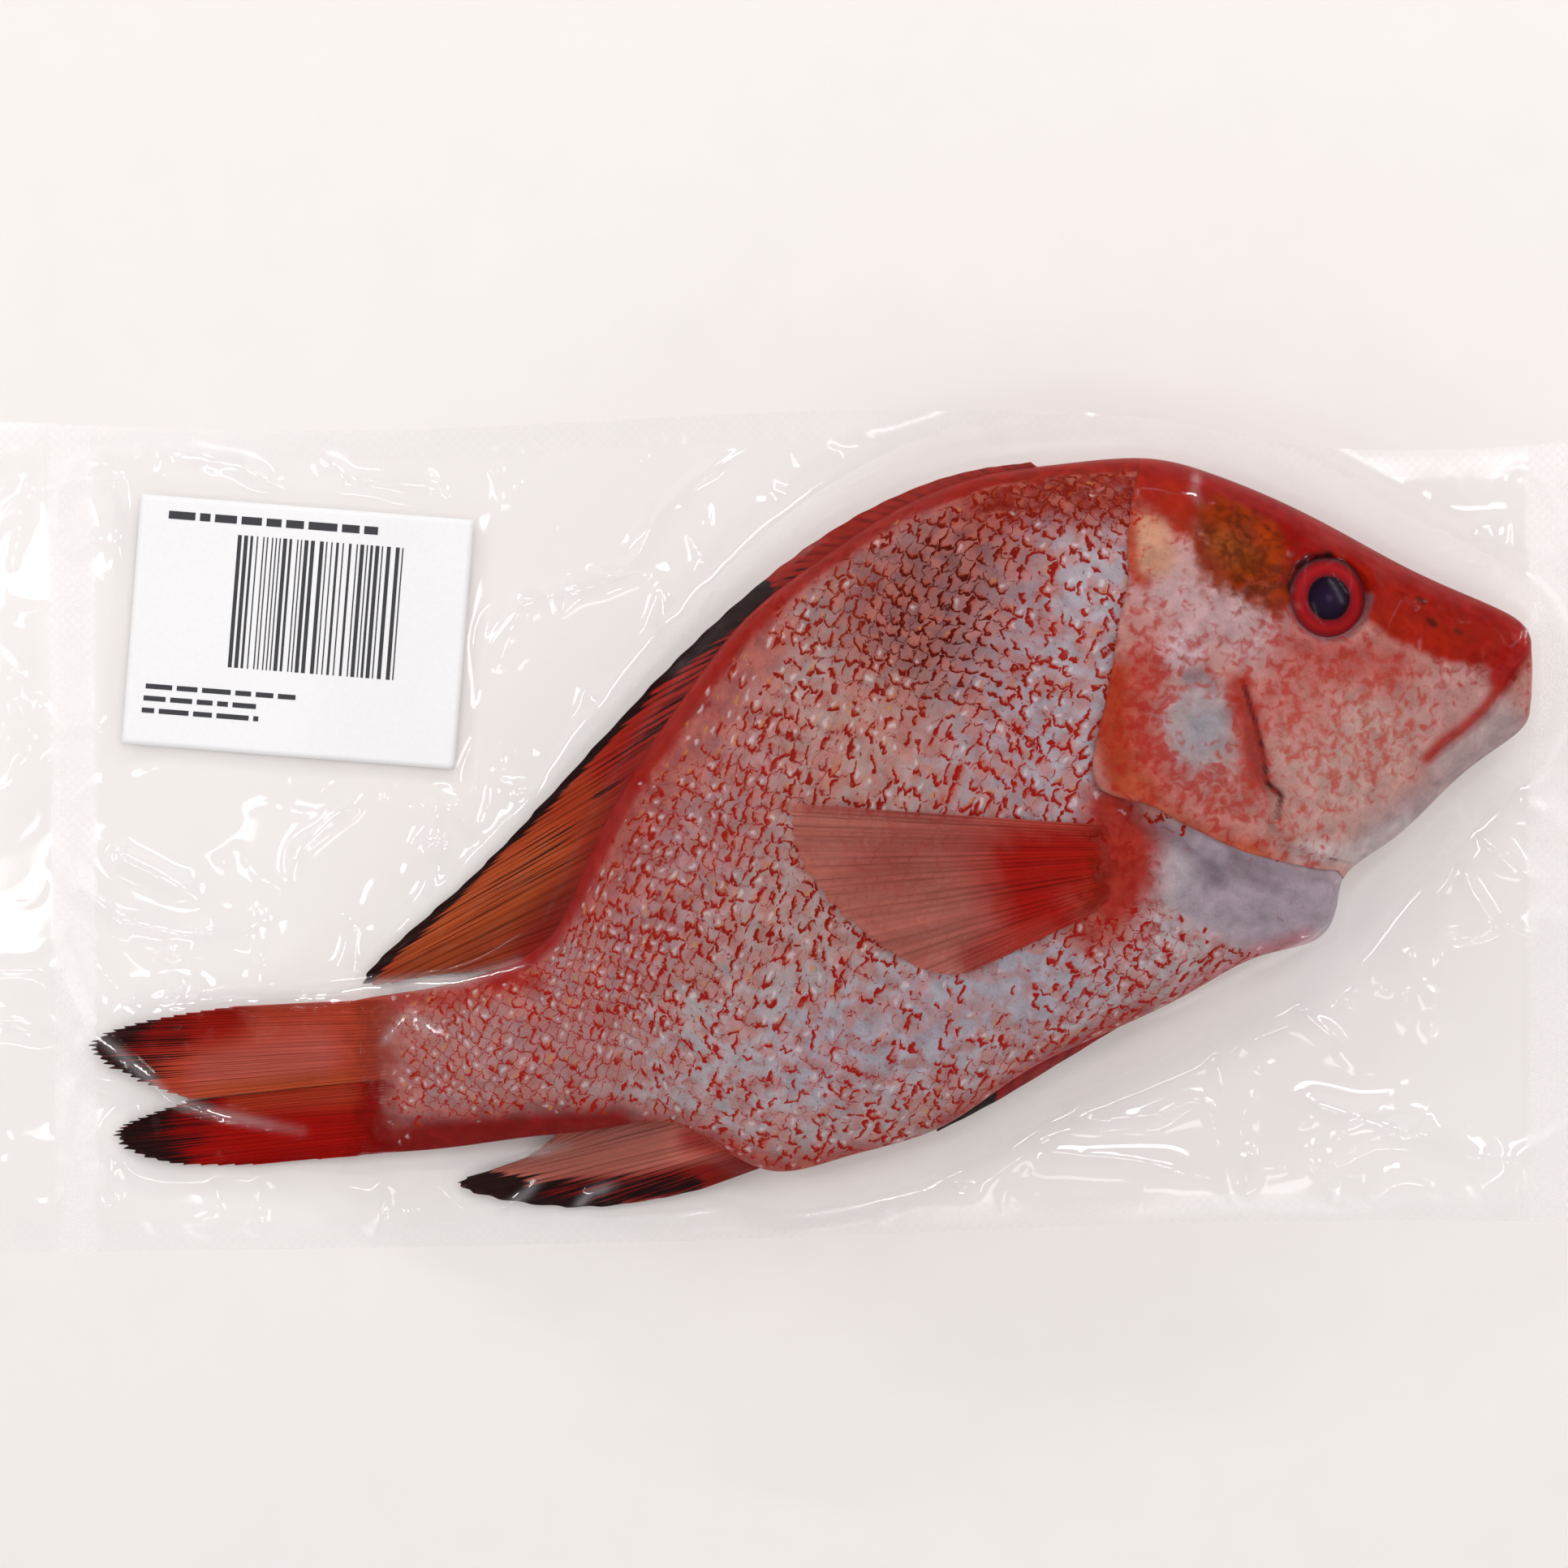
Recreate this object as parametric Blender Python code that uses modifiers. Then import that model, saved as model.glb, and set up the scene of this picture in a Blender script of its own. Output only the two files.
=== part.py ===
"""A whole raw snapper lying on its side, vacuum-packed in a clear bag with a label.

The origin is on the table under the middle of the bag. +X runs towards the fish's mouth,
+Y towards the bag's long edge beside its back, and +Z up. Sizes below are in millimetres.

The fish is one solid: a head and a trunk lofted along the same stations, fins and eyes.
The bag is the pair of films where they meet round the fish, and the label lies on it.
"""

import math

import bpy
import numpy as np
from mathutils import Vector
from mathutils.bvhtree import BVHTree

MM = 0.001

# Bag and label
BAG_LENGTH = 400.0
FILM_PAIR = 0.8
REST_GAP = 0.3
HOLE_GAP = 0.6
BAG_BACK_EDGE = ((-200, 99.0), (-90, 96.5), (6, 100.8), (45, 100.8), (91, 98.0), (114, 94.0), (200, 94.5))
BAG_BELLY_EDGE = ((-200, -101.0), (-90, -99.5), (6, -97.0), (102, -93.5), (200, -93.5))
BAG_EDGE_POINTS = 24
LABEL_SIZE = (80.0, 60.0, 0.3)
LABEL_CENTRE = (-116.5, 48.0)
LABEL_TURN = math.radians(-4.5)

# Stations of the body, from the snout to the root of the tail fin: the point on the back and
# the point on the belly, seen from above.
BACK = (
    (176.0, 46.5), (172.0, 51.0), (160.0, 56.5), (145.5, 63.0), (129.5, 71.5), (114.0, 79.0), (98.5, 85.0),
    (83.5, 88.0), (64.0, 86.5), (45.0, 83.5), (25.5, 75.5), (6.5, 63.0), (-10.0, 49.5), (-24.0, 31.5),
    (-35.5, 14.5), (-46.5, -6.5), (-55.0, -24.0), (-68.5, -32.5), (-83.5, -37.0), (-99.0, -39.5), (-113.0, -43.0),
)  # fmt: skip
BELLY = (
    (176.0, 31.0), (173.5, 24.0), (160.0, 14.0), (145.0, 0.0), (132.5, -9.0), (129.5, -18.0), (124.0, -25.5),
    (110.0, -29.5), (93.5, -38.5), (72.0, -48.5), (54.5, -57.5), (36.5, -69.5), (16.0, -76.0), (-2.0, -80.0),
    (-16.5, -73.5), (-29.0, -68.5), (-43.5, -70.5), (-60.5, -72.5), (-78.0, -75.0), (-98.0, -76.5), (-113.0, -75.0),
)  # fmt: skip
TAIL_STATION = len(BACK) - 1

# Station number against the height of the body's mid-plane over the table, and against the
# half thickness of the flank that faces up.
MID_HEIGHT = ((0, 17.0), (2, 18.0), (4, 21.0), (6, 22.5), (9, 22.0), (12, 18.0), (15, 12.0), (18, 6.3), (20, 3.2))
HALF_THICKNESS = ((0, 3.5), (1, 8.0), (2, 12.2), (4, 19.3), (6, 23.5), (8, 25.0), (10, 23.5), (13, 18.0),
                  (16, 11.0), (18, 6.4), (19, 3.9), (20, 0.9))  # fmt: skip
FLATTENED = 1.5
BACK_LEAN = 0.08

# The gill cover's free edge, as station number against the share of the way from back to belly.
GILL_EDGE = ((0.0, 7.0), (0.08, 7.28), (0.175, 7.5), (0.25, 7.6), (0.305, 7.8), (0.39, 8.02), (0.458, 8.22),
             (0.522, 8.43), (0.565, 8.5), (0.598, 8.4), (0.635, 7.98), (0.70, 7.6), (0.768, 7.1), (0.805, 6.68),
             (0.832, 6.0), (0.9, 4.95), (1.0, 4.15))  # fmt: skip
GILL_LIP = 1.4
GILL_LIP_REACH = 0.25
HEAD_SWELL = 1.006
TUCK_STATIONS = 0.9
TUCK = 0.09

HEAD_ROWS = 24
TRUNK_ROWS = 46
FLANK_COLUMNS = 36
UNDER_COLUMNS = 12

# Creases and bumps that show on the flank
CHEEK_EDGE = ((103.5, 36.5), (109.0, 21.0), (111.5, 11.5), (115.0, 9.0), (113.5, 3.0), (115.0, -1.5), (122.0, -4.5))
CHEEK_STEP = 1.5
UPPER_JAW_CREASE = ((176.0, 43.0), (168.0, 33.0), (158.0, 22.5), (149.0, 15.5))
LOWER_JAW_CREASE = ((176.5, 31.5), (165.0, 18.5), (156.0, 12.0), (151.0, 12.5), (149.0, 15.5))
SHOULDER_FOLD = ((83.0, 4.0), (89.0, -3.5), (97.0, -11.5), (103.0, -14.0))
FLANK_FOLDS = (
    ((-40.0, -14.0), (-20.0, -4.0), (2.0, 8.0)),
    ((-46.0, -30.0), (-24.0, -18.0), (0.0, -8.0)),
    ((-48.0, -46.0), (-22.0, -36.0), (4.0, -27.0)),
)
EYE_CENTRE = (126.0, 54.5)
EYE_RADIUS = 9.2
EYE_RISE = 1.4
EYE_RISE_UNDER = 0.8
EYE_DEPTH = 4.0

# Fins: points along the root, points along the outer edge, and the heights of both
DORSAL_ROOT = ((62, 84), (45, 80), (27, 71.5), (10, 60), (-6, 47), (-20, 30), (-31.5, 13), (-42, -4), (-50, -20),
               (-60, -33))  # fmt: skip
DORSAL_EDGE = ((58, 87), (38, 83.7), (14, 73), (-9, 56.3), (-32, 34.5), (-58, 6.5), (-80, -15.5), (-100.5, -35),
               (-86, -34.6), (-70, -33.6))  # fmt: skip
DORSAL_ROOT_Z = (22.5, 22.0, 21.0, 19.5, 17.5, 15.0, 12.5, 10.5, 9.0, 8.0)
DORSAL_EDGE_Z = (22.0, 20.0, 17.0, 12.5, 8.0, 4.5, 3.2, 2.8, 3.2, 5.0)
ANAL_ROOT = ((3, -76.5), (-8, -75), (-18, -70), (-33, -65.5), (-54, -68.5))
ANAL_EDGE = ((-20, -85.3), (-51, -89.7), (-77.5, -85), (-67, -80.5), (-54, -72.5))
ANAL_ROOT_Z = (13.0, 12.0, 11.0, 9.0, 7.5)
ANAL_EDGE_Z = (5.5, 3.0, 2.8, 3.2, 5.5)
TAIL_UPPER_ROOT = ((-92, -39.8), (-90, -43), (-88, -48), (-88, -53), (-88, -58.7))
TAIL_UPPER_EDGE = ((-132, -42.0), (-153, -45.5), (-165.5, -51), (-157, -58), (-142.5, -64))
TAIL_UPPER_ROOT_Z = (5.2, 6.2, 6.8, 6.8, 6.2)
TAIL_UPPER_EDGE_Z = (3.4, 3.0, 3.0, 3.2, 3.4)
TAIL_LOWER_ROOT = ((-88, -57.5), (-88, -62), (-88, -67), (-90, -72), (-92, -76.2))
TAIL_LOWER_EDGE = ((-142.5, -64.5), (-155, -69), (-159.5, -73.5), (-148, -78.9), (-126, -79.2))
TAIL_LOWER_ROOT_Z = (6.0, 6.4, 6.4, 6.0, 5.0)
TAIL_LOWER_EDGE_Z = (2.7, 2.7, 2.7, 2.7, 2.9)
PELVIC_ROOT = ((90, -37.5), (72, -46.5), (54, -56), (38, -67))
PELVIC_EDGE = ((88, -41.3), (70, -52.3), (51, -63.8), (36.5, -71.2))
PELVIC_ROOT_Z = (15.0, 15.0, 14.5, 14.0)
PELVIC_EDGE_Z = (9.0, 8.0, 7.5, 8.0)
PECTORAL_ROOT = ((74, 2), (76, -3), (77, -8), (76, -13), (72, -18))
PECTORAL_EDGE = ((2, 7), (2.5, -3), (12, -17), (30, -30.5), (43, -32))
PECTORAL_LIFT = 1.5
FIN_THICKNESS = 1.3
RAY_RELIEF = 0.25


def spline(knots, values, at):
    """A natural cubic spline through values at knots, read at each number in at."""
    knots, values, at = (np.asarray(a, float) for a in (knots, values, at))
    count, gaps = len(knots), np.diff(knots)
    system, right = np.eye(count), np.zeros((count,) + values.shape[1:])
    for i in range(1, count - 1):
        system[i, i - 1 : i + 2] = gaps[i - 1], 2 * (gaps[i - 1] + gaps[i]), gaps[i]
        right[i] = 6 * ((values[i + 1] - values[i]) / gaps[i] - (values[i] - values[i - 1]) / gaps[i - 1])
    bend = np.linalg.solve(system, right)
    i = np.clip(np.searchsorted(knots, at, side="right") - 1, 0, count - 2)
    extra = (1,) * (values.ndim - 1)
    t, gap = (a.reshape(a.shape + extra) for a in (at - knots[i], gaps[i]))
    slope = (values[i + 1] - values[i]) / gap - gap * (2 * bend[i] + bend[i + 1]) / 6
    return values[i] + t * slope + t**2 * bend[i] / 2 + t**3 * (bend[i + 1] - bend[i]) / (6 * gap)


def table_spline(table, at):
    """A spline through the rows of a table of (knot, value)."""
    knots, values = zip(*table)
    return spline(knots, values, at)


def even_spline(points, at):
    """A spline through points at even steps, read at numbers from 0 to 1."""
    return spline(np.linspace(0, 1, len(points)), points, at)


def path_distance(x, y, path):
    """The distance from each (x, y) to a path of points, positive to the left of its run."""
    nearest = np.full(np.shape(x), np.inf)
    side = np.ones(np.shape(x))
    for (ax, ay), (bx, by) in zip(path, path[1:]):
        dx, dy = bx - ax, by - ay
        share = np.clip(((x - ax) * dx + (y - ay) * dy) / (dx * dx + dy * dy), 0, 1)
        away = np.hypot(x - ax - share * dx, y - ay - share * dy)
        turn = np.where(dx * (y - ay) - dy * (x - ax) >= 0, 1.0, -1.0)
        side = np.where(away < nearest, turn, side)
        nearest = np.minimum(away, nearest)
    return nearest, side


def crease(x, y, path, depth, width):
    """The depth of a rounded groove along a path."""
    away, _ = path_distance(x, y, path)
    return -depth * np.exp(-((away / width) ** 2))


def bump(x, y, centre, height, radius):
    """The height of a rounded bump round a centre."""
    return height * np.exp(-((x - centre[0]) ** 2 + (y - centre[1]) ** 2) / radius**2)


def flank_relief(x, y):
    """How far the seen flank stands off its plain form: cheek, jaws, eye socket, folds."""
    away, side = path_distance(x, y, CHEEK_EDGE)
    cheek = CHEEK_STEP * 0.5 * (1 + np.tanh(side * away / 0.8)) * np.exp(-((away / 22.0) ** 2))
    reach = np.hypot(x - EYE_CENTRE[0], y - EYE_CENTRE[1])
    socket = -1.0 * np.exp(-(((reach - EYE_RADIUS - 1.0) / 1.6) ** 2))
    relief = cheek + socket
    relief += crease(x, y, UPPER_JAW_CREASE, 1.5, 1.9)
    relief += crease(x, y, LOWER_JAW_CREASE, 1.2, 1.6)
    relief += crease(x, y, SHOULDER_FOLD, 2.2, 3.0)
    relief += bump(x, y, (87.0, 43.5), 1.6, 6.5) + bump(x, y, (92.0, 35.5), -1.8, 5.0)
    for fold in FLANK_FOLDS:
        relief += crease(x, y, fold, 0.9, 2.6)
    return relief


def body_points(station, share, faces_up):
    """Points of the body's skin at a station number and a share of the way from back to belly."""
    number = np.arange(len(BACK))
    back, belly = spline(number, BACK, station), spline(number, BELLY, station)
    plan = back * (1 - share)[..., None] + belly * share[..., None]
    x, y = plan[..., 0], plan[..., 1]
    middle, half = table_spline(MID_HEIGHT, station), table_spline(HALF_THICKNESS, station)
    across = 1 - 2 * share
    arch = np.sqrt(np.clip(1 - across**2, 0, 1))
    if faces_up:
        fade = np.clip(arch * 3, 0, 1)
        z = middle + half * arch * (1 + BACK_LEAN * across) + flank_relief(x, y) * fade
    else:
        drop = np.minimum(half * 1.1, middle + FLATTENED)
        z = np.maximum(middle - drop * arch, 0)
    return np.stack([x, y, z], -1)


def ring_shares(columns):
    """Shares from back to belly, closer together near both edges."""
    return (1 - np.cos(np.linspace(0, math.pi, columns + 1))) / 2


def gill_station(share):
    """The station number of the gill cover's edge, at a share from back to belly."""
    shares, stations = zip(*GILL_EDGE)
    return np.interp(share, shares, stations)


def head_skin(share, faces_up):
    """Rows of points from the snout to the gill cover's edge, which stands off as a lip."""
    along = np.linspace(0, 1, HEAD_ROWS + 1)[:, None] ** 1.25
    station = along * gill_station(share)[None, :]
    points = body_points(station, np.broadcast_to(share, station.shape), faces_up)
    centre = (spline(range(len(BACK)), BACK, station) + spline(range(len(BACK)), BELLY, station)) / 2
    swell = 1 + (HEAD_SWELL - 1) * along[..., None]
    points[..., :2] = centre + (points[..., :2] - centre) * swell
    lip = GILL_LIP * np.clip((along - 1 + GILL_LIP_REACH) / GILL_LIP_REACH, 0, 1) ** 0.7
    arch = np.sqrt(np.clip(1 - (1 - 2 * share) ** 2, 0, 1))
    points[..., 2] = np.maximum(points[..., 2] + (1.0 if faces_up else -0.2) * lip * arch, 0)
    return points


def trunk_skin(share, faces_up):
    """Rows of points from inside the head, where the trunk tapers, to the root of the tail."""
    along = np.linspace(0, 1, TRUNK_ROWS + 1)[:, None]
    edge = gill_station(share)[None, :]
    front = edge - TUCK_STATIONS
    station = front + (TAIL_STATION - front) * along
    points = body_points(station, np.broadcast_to(share, station.shape), faces_up)
    hidden = np.clip((edge - station) / TUCK_STATIONS + 0.15, 0, None)[..., None]
    centre = (body_points(station, np.full(station.shape, 0.5), True)
              + body_points(station, np.full(station.shape, 0.5), False)) / 2  # fmt: skip
    return points + (centre - points) * hidden * TUCK


def stitch(ids_a, share_a, ids_b, share_b):
    """Triangles between two rows that run side by side with unlike numbers of points."""
    faces, i, j = [], 0, 0
    while i < len(ids_a) - 1 or j < len(ids_b) - 1:
        step_a = j == len(ids_b) - 1 or (i < len(ids_a) - 1 and share_a[i + 1] <= share_b[j + 1])
        corner = ids_a[i + 1] if step_a else ids_b[j + 1]
        triangle = (ids_a[i], corner, ids_b[j])
        if len(set(triangle)) == 3:
            faces.append(triangle)
        i, j = (i + 1, j) if step_a else (i, j + 1)
    return faces


def loft(name, skin):
    """A closed loft: the flank over, the side under, and a wall across each end."""
    over, under = ring_shares(FLANK_COLUMNS), ring_shares(UNDER_COLUMNS)
    upper, lower = skin(over, True), skin(under, False)
    rows = len(upper)
    ring = np.concatenate([upper, lower[:, -2:0:-1]], axis=1)
    size = ring.shape[1]
    faces = [
        (r * size + c, (r + 1) * size + c, (r + 1) * size + (c + 1) % size, r * size + (c + 1) % size)
        for r in range(rows - 1)
        for c in range(size)
    ]
    top = list(range(FLANK_COLUMNS + 1))
    below = [0] + [size - k for k in range(1, UNDER_COLUMNS)] + [FLANK_COLUMNS]
    front = stitch(top, over, below, under)
    faces += front
    last = (rows - 1) * size
    faces += [tuple(last + v for v in reversed(face)) for face in front]
    mesh = bpy.data.meshes.new(name)
    mesh.from_pydata((ring.reshape(-1, 3) * MM).tolist(), [], faces)
    return face_outwards(bpy.data.objects.new(name, mesh))


def face_outwards(obj):
    """Turns a closed mesh the right way round if its faces point in."""
    mesh = obj.data
    mesh.calc_loop_triangles()
    points = np.array([v.co for v in mesh.vertices])
    corners = points[np.array([t.vertices for t in mesh.loop_triangles])]
    if np.linalg.det(corners).sum() < 0:
        mesh.flip_normals()
    return obj


def skin_at(tree, x, y, from_above=True):
    """Where a plumb line meets the skin over or under a point, and which way it faces there."""
    side = 1.0 if from_above else -1.0
    hit, normal, _, _ = tree.ray_cast(Vector((x * MM, y * MM, side)), Vector((0, 0, -side)))
    return hit, normal


def height_at(tree, x, y):
    """The height of the skin in millimetres straight above a point of the table."""
    hit, _ = skin_at(tree, x, y)
    return hit.z / MM if hit else 0.0


def fin_grid(root, edge, rays, rows, ray_tip):
    """Plan points from root to edge, with the tips of the rays standing out a little."""
    across = np.linspace(0, 1, 2 * rays + 1)
    along = np.linspace(0, 1, rows + 1)
    start, end = even_spline(root, across), even_spline(edge, across)
    end = end + (end - start) * (np.arange(len(across)) % 2)[:, None] * ray_tip
    return start[:, None] + (end - start)[:, None] * along[None, :, None], across, along


def fin_sheet(name, plan, height, collection):
    """A fin: an open sheet of rays through plan points at given heights, made solid."""
    rays = np.where(np.arange(plan.shape[0]) % 2, RAY_RELIEF, -RAY_RELIEF)[:, None]
    points = np.concatenate([plan, (height + rays)[..., None]], -1)
    across, along = points.shape[:2]
    faces = [
        (a * along + b, (a + 1) * along + b, (a + 1) * along + b + 1, a * along + b + 1)
        for a in range(across - 1)
        for b in range(along - 1)
    ]
    mesh = bpy.data.meshes.new(name)
    mesh.from_pydata((points.reshape(-1, 3) * MM).tolist(), [], faces)
    fin = bpy.data.objects.new(name, mesh)
    collection.objects.link(fin)
    if mesh.polygons[0].normal.z < 0:
        mesh.flip_normals()
    shell = fin.modifiers.new("thickness", "SOLIDIFY")
    shell.thickness = FIN_THICKNESS * MM
    shell.offset = -1.0
    return fin


def free_fin(name, root, edge, root_z, edge_z, rays, rows, collection, ray_tip=0.02):
    """A fin in the body's mid-plane, pressed down towards the table at its edge."""
    plan, across, along = fin_grid(root, edge, rays, rows, ray_tip)
    start, end = even_spline(root_z, across)[:, None], even_spline(edge_z, across)[:, None]
    return fin_sheet(name, plan, start + (end - start) * along[None, :] ** 0.8, collection)


def pectoral_fin(tree, collection):
    """The fin that lies flat on the flank behind the gill cover."""
    plan, _, along = fin_grid(PECTORAL_ROOT, PECTORAL_EDGE, 9, 9, 0.015)
    skin = np.array([[height_at(tree, x, y) for x, y in row] for row in plan])
    lift = PECTORAL_LIFT * np.clip(along / 0.25, 0, 1)[None, :] - 0.1
    return fin_sheet("pectoral_fin", plan, skin + lift, collection)


def eye(name, tree, from_above, rise, collection):
    """An eyeball that shows as a low dome square to the head's skin."""
    bpy.ops.mesh.primitive_uv_sphere_add(segments=24, ring_count=9, radius=EYE_RADIUS * MM)
    ball = bpy.context.object
    ball.name = name
    ball.data.transform(scaled(1, 1, EYE_DEPTH / EYE_RADIUS))
    place, out = skin_at(tree, *EYE_CENTRE, from_above)
    ball.rotation_euler = out.to_track_quat("Z", "Y").to_euler()
    ball.location = place + out * (rise - EYE_DEPTH) * MM
    move_to(ball, collection)
    return ball


def scaled(x, y, z):
    """A scale matrix."""
    return np.diag((x, y, z, 1.0)).tolist()


def move_to(obj, collection):
    """Puts an object into one collection only."""
    for other in obj.users_collection:
        other.objects.unlink(obj)
    collection.objects.link(obj)


def material(name, colour, roughness, alpha=1.0):
    """A plain finish."""
    made = bpy.data.materials.new(name)
    made.use_nodes = True
    shader = made.node_tree.nodes["Principled BSDF"]
    shader.inputs["Base Color"].default_value = (*colour, 1.0)
    shader.inputs["Roughness"].default_value = roughness
    shader.inputs["Metallic"].default_value = 0.0
    shader.inputs["Alpha"].default_value = alpha
    return made


def frozen(obj):
    """A mesh object that holds the shape an object evaluates to, in place of it."""
    graph = bpy.context.evaluated_depsgraph_get()
    mesh = bpy.data.meshes.new_from_object(obj.evaluated_get(graph))
    mesh.transform(obj.matrix_world)
    name = obj.name
    copy = bpy.data.objects.new(name, mesh)
    for collection in obj.users_collection:
        collection.objects.link(copy)
    bpy.data.objects.remove(obj)
    copy.name = name
    return copy


def fish(collection):
    """Head, trunk, fins and eyes, joined into one solid."""
    pieces = bpy.data.collections.new("fish_pieces")
    bpy.context.scene.collection.children.link(pieces)
    trunk, head = loft("fish", trunk_skin), loft("head", head_skin)
    collection.objects.link(trunk)
    pieces.objects.link(head)
    bpy.context.view_layer.update()
    graph = bpy.context.evaluated_depsgraph_get()
    skin, face = BVHTree.FromObject(trunk, graph), BVHTree.FromObject(head, graph)
    free_fin("dorsal_fin", DORSAL_ROOT, DORSAL_EDGE, DORSAL_ROOT_Z, DORSAL_EDGE_Z, 22, 5, pieces)
    free_fin("anal_fin", ANAL_ROOT, ANAL_EDGE, ANAL_ROOT_Z, ANAL_EDGE_Z, 9, 5, pieces)
    free_fin("tail_upper", TAIL_UPPER_ROOT, TAIL_UPPER_EDGE, TAIL_UPPER_ROOT_Z, TAIL_UPPER_EDGE_Z, 9, 6, pieces)
    free_fin("tail_lower", TAIL_LOWER_ROOT, TAIL_LOWER_EDGE, TAIL_LOWER_ROOT_Z, TAIL_LOWER_EDGE_Z, 8, 6, pieces)
    free_fin("pelvic_fin", PELVIC_ROOT, PELVIC_EDGE, PELVIC_ROOT_Z, PELVIC_EDGE_Z, 4, 3, pieces, 0.0)
    pectoral_fin(skin, pieces)
    eye("eye_over", face, True, EYE_RISE, pieces)
    eye("eye_under", face, False, EYE_RISE_UNDER, pieces)
    join = trunk.modifiers.new("join", "BOOLEAN")
    join.operation = "UNION"
    join.operand_type = "COLLECTION"
    join.collection = pieces
    join.solver = "MANIFOLD"
    bpy.context.view_layer.update()
    whole = frozen(trunk)
    for piece in list(pieces.objects):
        bpy.data.objects.remove(piece)
    bpy.data.collections.remove(pieces)
    whole.name = "fish"
    whole.data.materials.append(material("fish_skin", (0.62, 0.13, 0.09), 0.3))
    whole.data.shade_smooth()
    whole.data.set_sharp_from_angle(angle=math.radians(40))
    return whole


def flat_outline(name, outline, low, high, widened, collection):
    """A flat plate between two heights, from an outline that may be widened."""
    curve = bpy.data.curves.new(name, "CURVE")
    curve.dimensions = "2D"
    curve.fill_mode = "BOTH"
    curve.extrude = (high - low) / 2 * MM
    curve.offset = widened * MM
    line = curve.splines.new("POLY")
    line.points.add(len(outline) - 1)
    for point, (x, y) in zip(line.points, outline):
        point.co = (x * MM, y * MM, 0, 1)
    line.use_cyclic_u = True
    plate = bpy.data.objects.new(name, curve)
    plate.location.z = (low + high) / 2 * MM
    collection.objects.link(plate)
    bpy.context.view_layer.update()
    plate = frozen(plate)
    weld(plate)
    return plate


def weld(obj):
    """Joins the loose caps of what was a curve."""
    merge = obj.modifiers.new("weld", "WELD")
    merge.merge_threshold = 0.00001


def body_outline():
    """The body's outline from above, back then belly."""
    number = np.arange(len(BACK))
    at = np.linspace(0, TAIL_STATION, 4 * TAIL_STATION + 1)
    return np.concatenate([spline(number, BACK, at), spline(number, BELLY, at)[::-1]])


def bag(collection, cutters):
    """Both films of the bag where they meet, with the space that the body fills."""
    at = np.linspace(-BAG_LENGTH / 2, BAG_LENGTH / 2, BAG_EDGE_POINTS)
    back = np.stack([at, table_spline(BAG_BACK_EDGE, at)], -1)
    belly = np.stack([at, table_spline(BAG_BELLY_EDGE, at)], -1)
    film = flat_outline("bag", np.concatenate([belly, back[::-1]]), 0, FILM_PAIR, 0, collection)
    space = flat_outline("body_space", body_outline(), -FILM_PAIR, 2 * FILM_PAIR, HOLE_GAP, cutters)
    space.hide_render = True
    space.display_type = "WIRE"
    cut = film.modifiers.new("body_space", "BOOLEAN")
    cut.operation = "DIFFERENCE"
    cut.object = space
    cut.solver = "EXACT"
    film.data.materials.append(material("clear_film", (0.93, 0.92, 0.92), 0.1, 0.35))
    return film


def label(collection):
    """The paper label, which lies on the bag."""
    width, depth, thickness = (size * MM for size in LABEL_SIZE)
    bpy.ops.mesh.primitive_cube_add(size=1)
    paper = bpy.context.object
    paper.name = "label"
    paper.data.transform(scaled(width, depth, thickness))
    paper.location = (LABEL_CENTRE[0] * MM, LABEL_CENTRE[1] * MM, (FILM_PAIR + REST_GAP) * MM + thickness / 2)
    paper.rotation_euler.z = LABEL_TURN
    move_to(paper, collection)
    paper.data.materials.append(material("label_paper", (0.93, 0.93, 0.93), 0.6))
    return paper


def main():
    """Clears the scene and builds the packed fish."""
    for old in list(bpy.data.objects):
        bpy.data.objects.remove(old)
    collection = bpy.data.collections.new("vacuum_packed_snapper")
    cutters = bpy.data.collections.new("cutters")
    bpy.context.scene.collection.children.link(collection)
    bpy.context.scene.collection.children.link(cutters)
    fish(collection)
    bag(collection, cutters)
    label(collection)


main()
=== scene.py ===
"""A whole raw snapper in its vacuum bag: skin, fins, eyes, clear film and label.

Lengths are in millimetres in the frame of the CAD model. The origin is on the table under the
middle of the bag, X runs towards the fish's mouth and Y towards the bag's edge beside its back.
"""

import logging
import math
from dataclasses import dataclass
from enum import Enum

import bmesh
import bpy
import numpy as np
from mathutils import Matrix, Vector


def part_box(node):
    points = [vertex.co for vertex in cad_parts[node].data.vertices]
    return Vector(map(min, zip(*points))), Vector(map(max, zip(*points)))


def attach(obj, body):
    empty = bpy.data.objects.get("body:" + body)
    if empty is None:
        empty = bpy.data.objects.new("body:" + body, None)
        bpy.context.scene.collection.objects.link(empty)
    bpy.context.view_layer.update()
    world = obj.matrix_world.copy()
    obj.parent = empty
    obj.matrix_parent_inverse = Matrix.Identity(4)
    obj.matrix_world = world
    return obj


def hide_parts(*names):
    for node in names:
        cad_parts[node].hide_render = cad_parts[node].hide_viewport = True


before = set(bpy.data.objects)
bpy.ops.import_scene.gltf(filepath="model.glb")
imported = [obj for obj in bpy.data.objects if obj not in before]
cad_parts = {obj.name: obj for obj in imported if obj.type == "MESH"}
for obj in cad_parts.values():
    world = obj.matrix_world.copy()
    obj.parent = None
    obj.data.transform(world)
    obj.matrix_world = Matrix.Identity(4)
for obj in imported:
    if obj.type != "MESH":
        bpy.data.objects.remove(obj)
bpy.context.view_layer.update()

log = logging.getLogger("packed_snapper")

MM = 0.001
LATTICE_SPAN = 100.0
PHOTO_SPAN = 370.9
CAMERA_HEIGHT = 1060.0
CAMERA_Y = 11.5
FOCUS_Z = 15.0
SENSOR = 36.0

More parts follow.
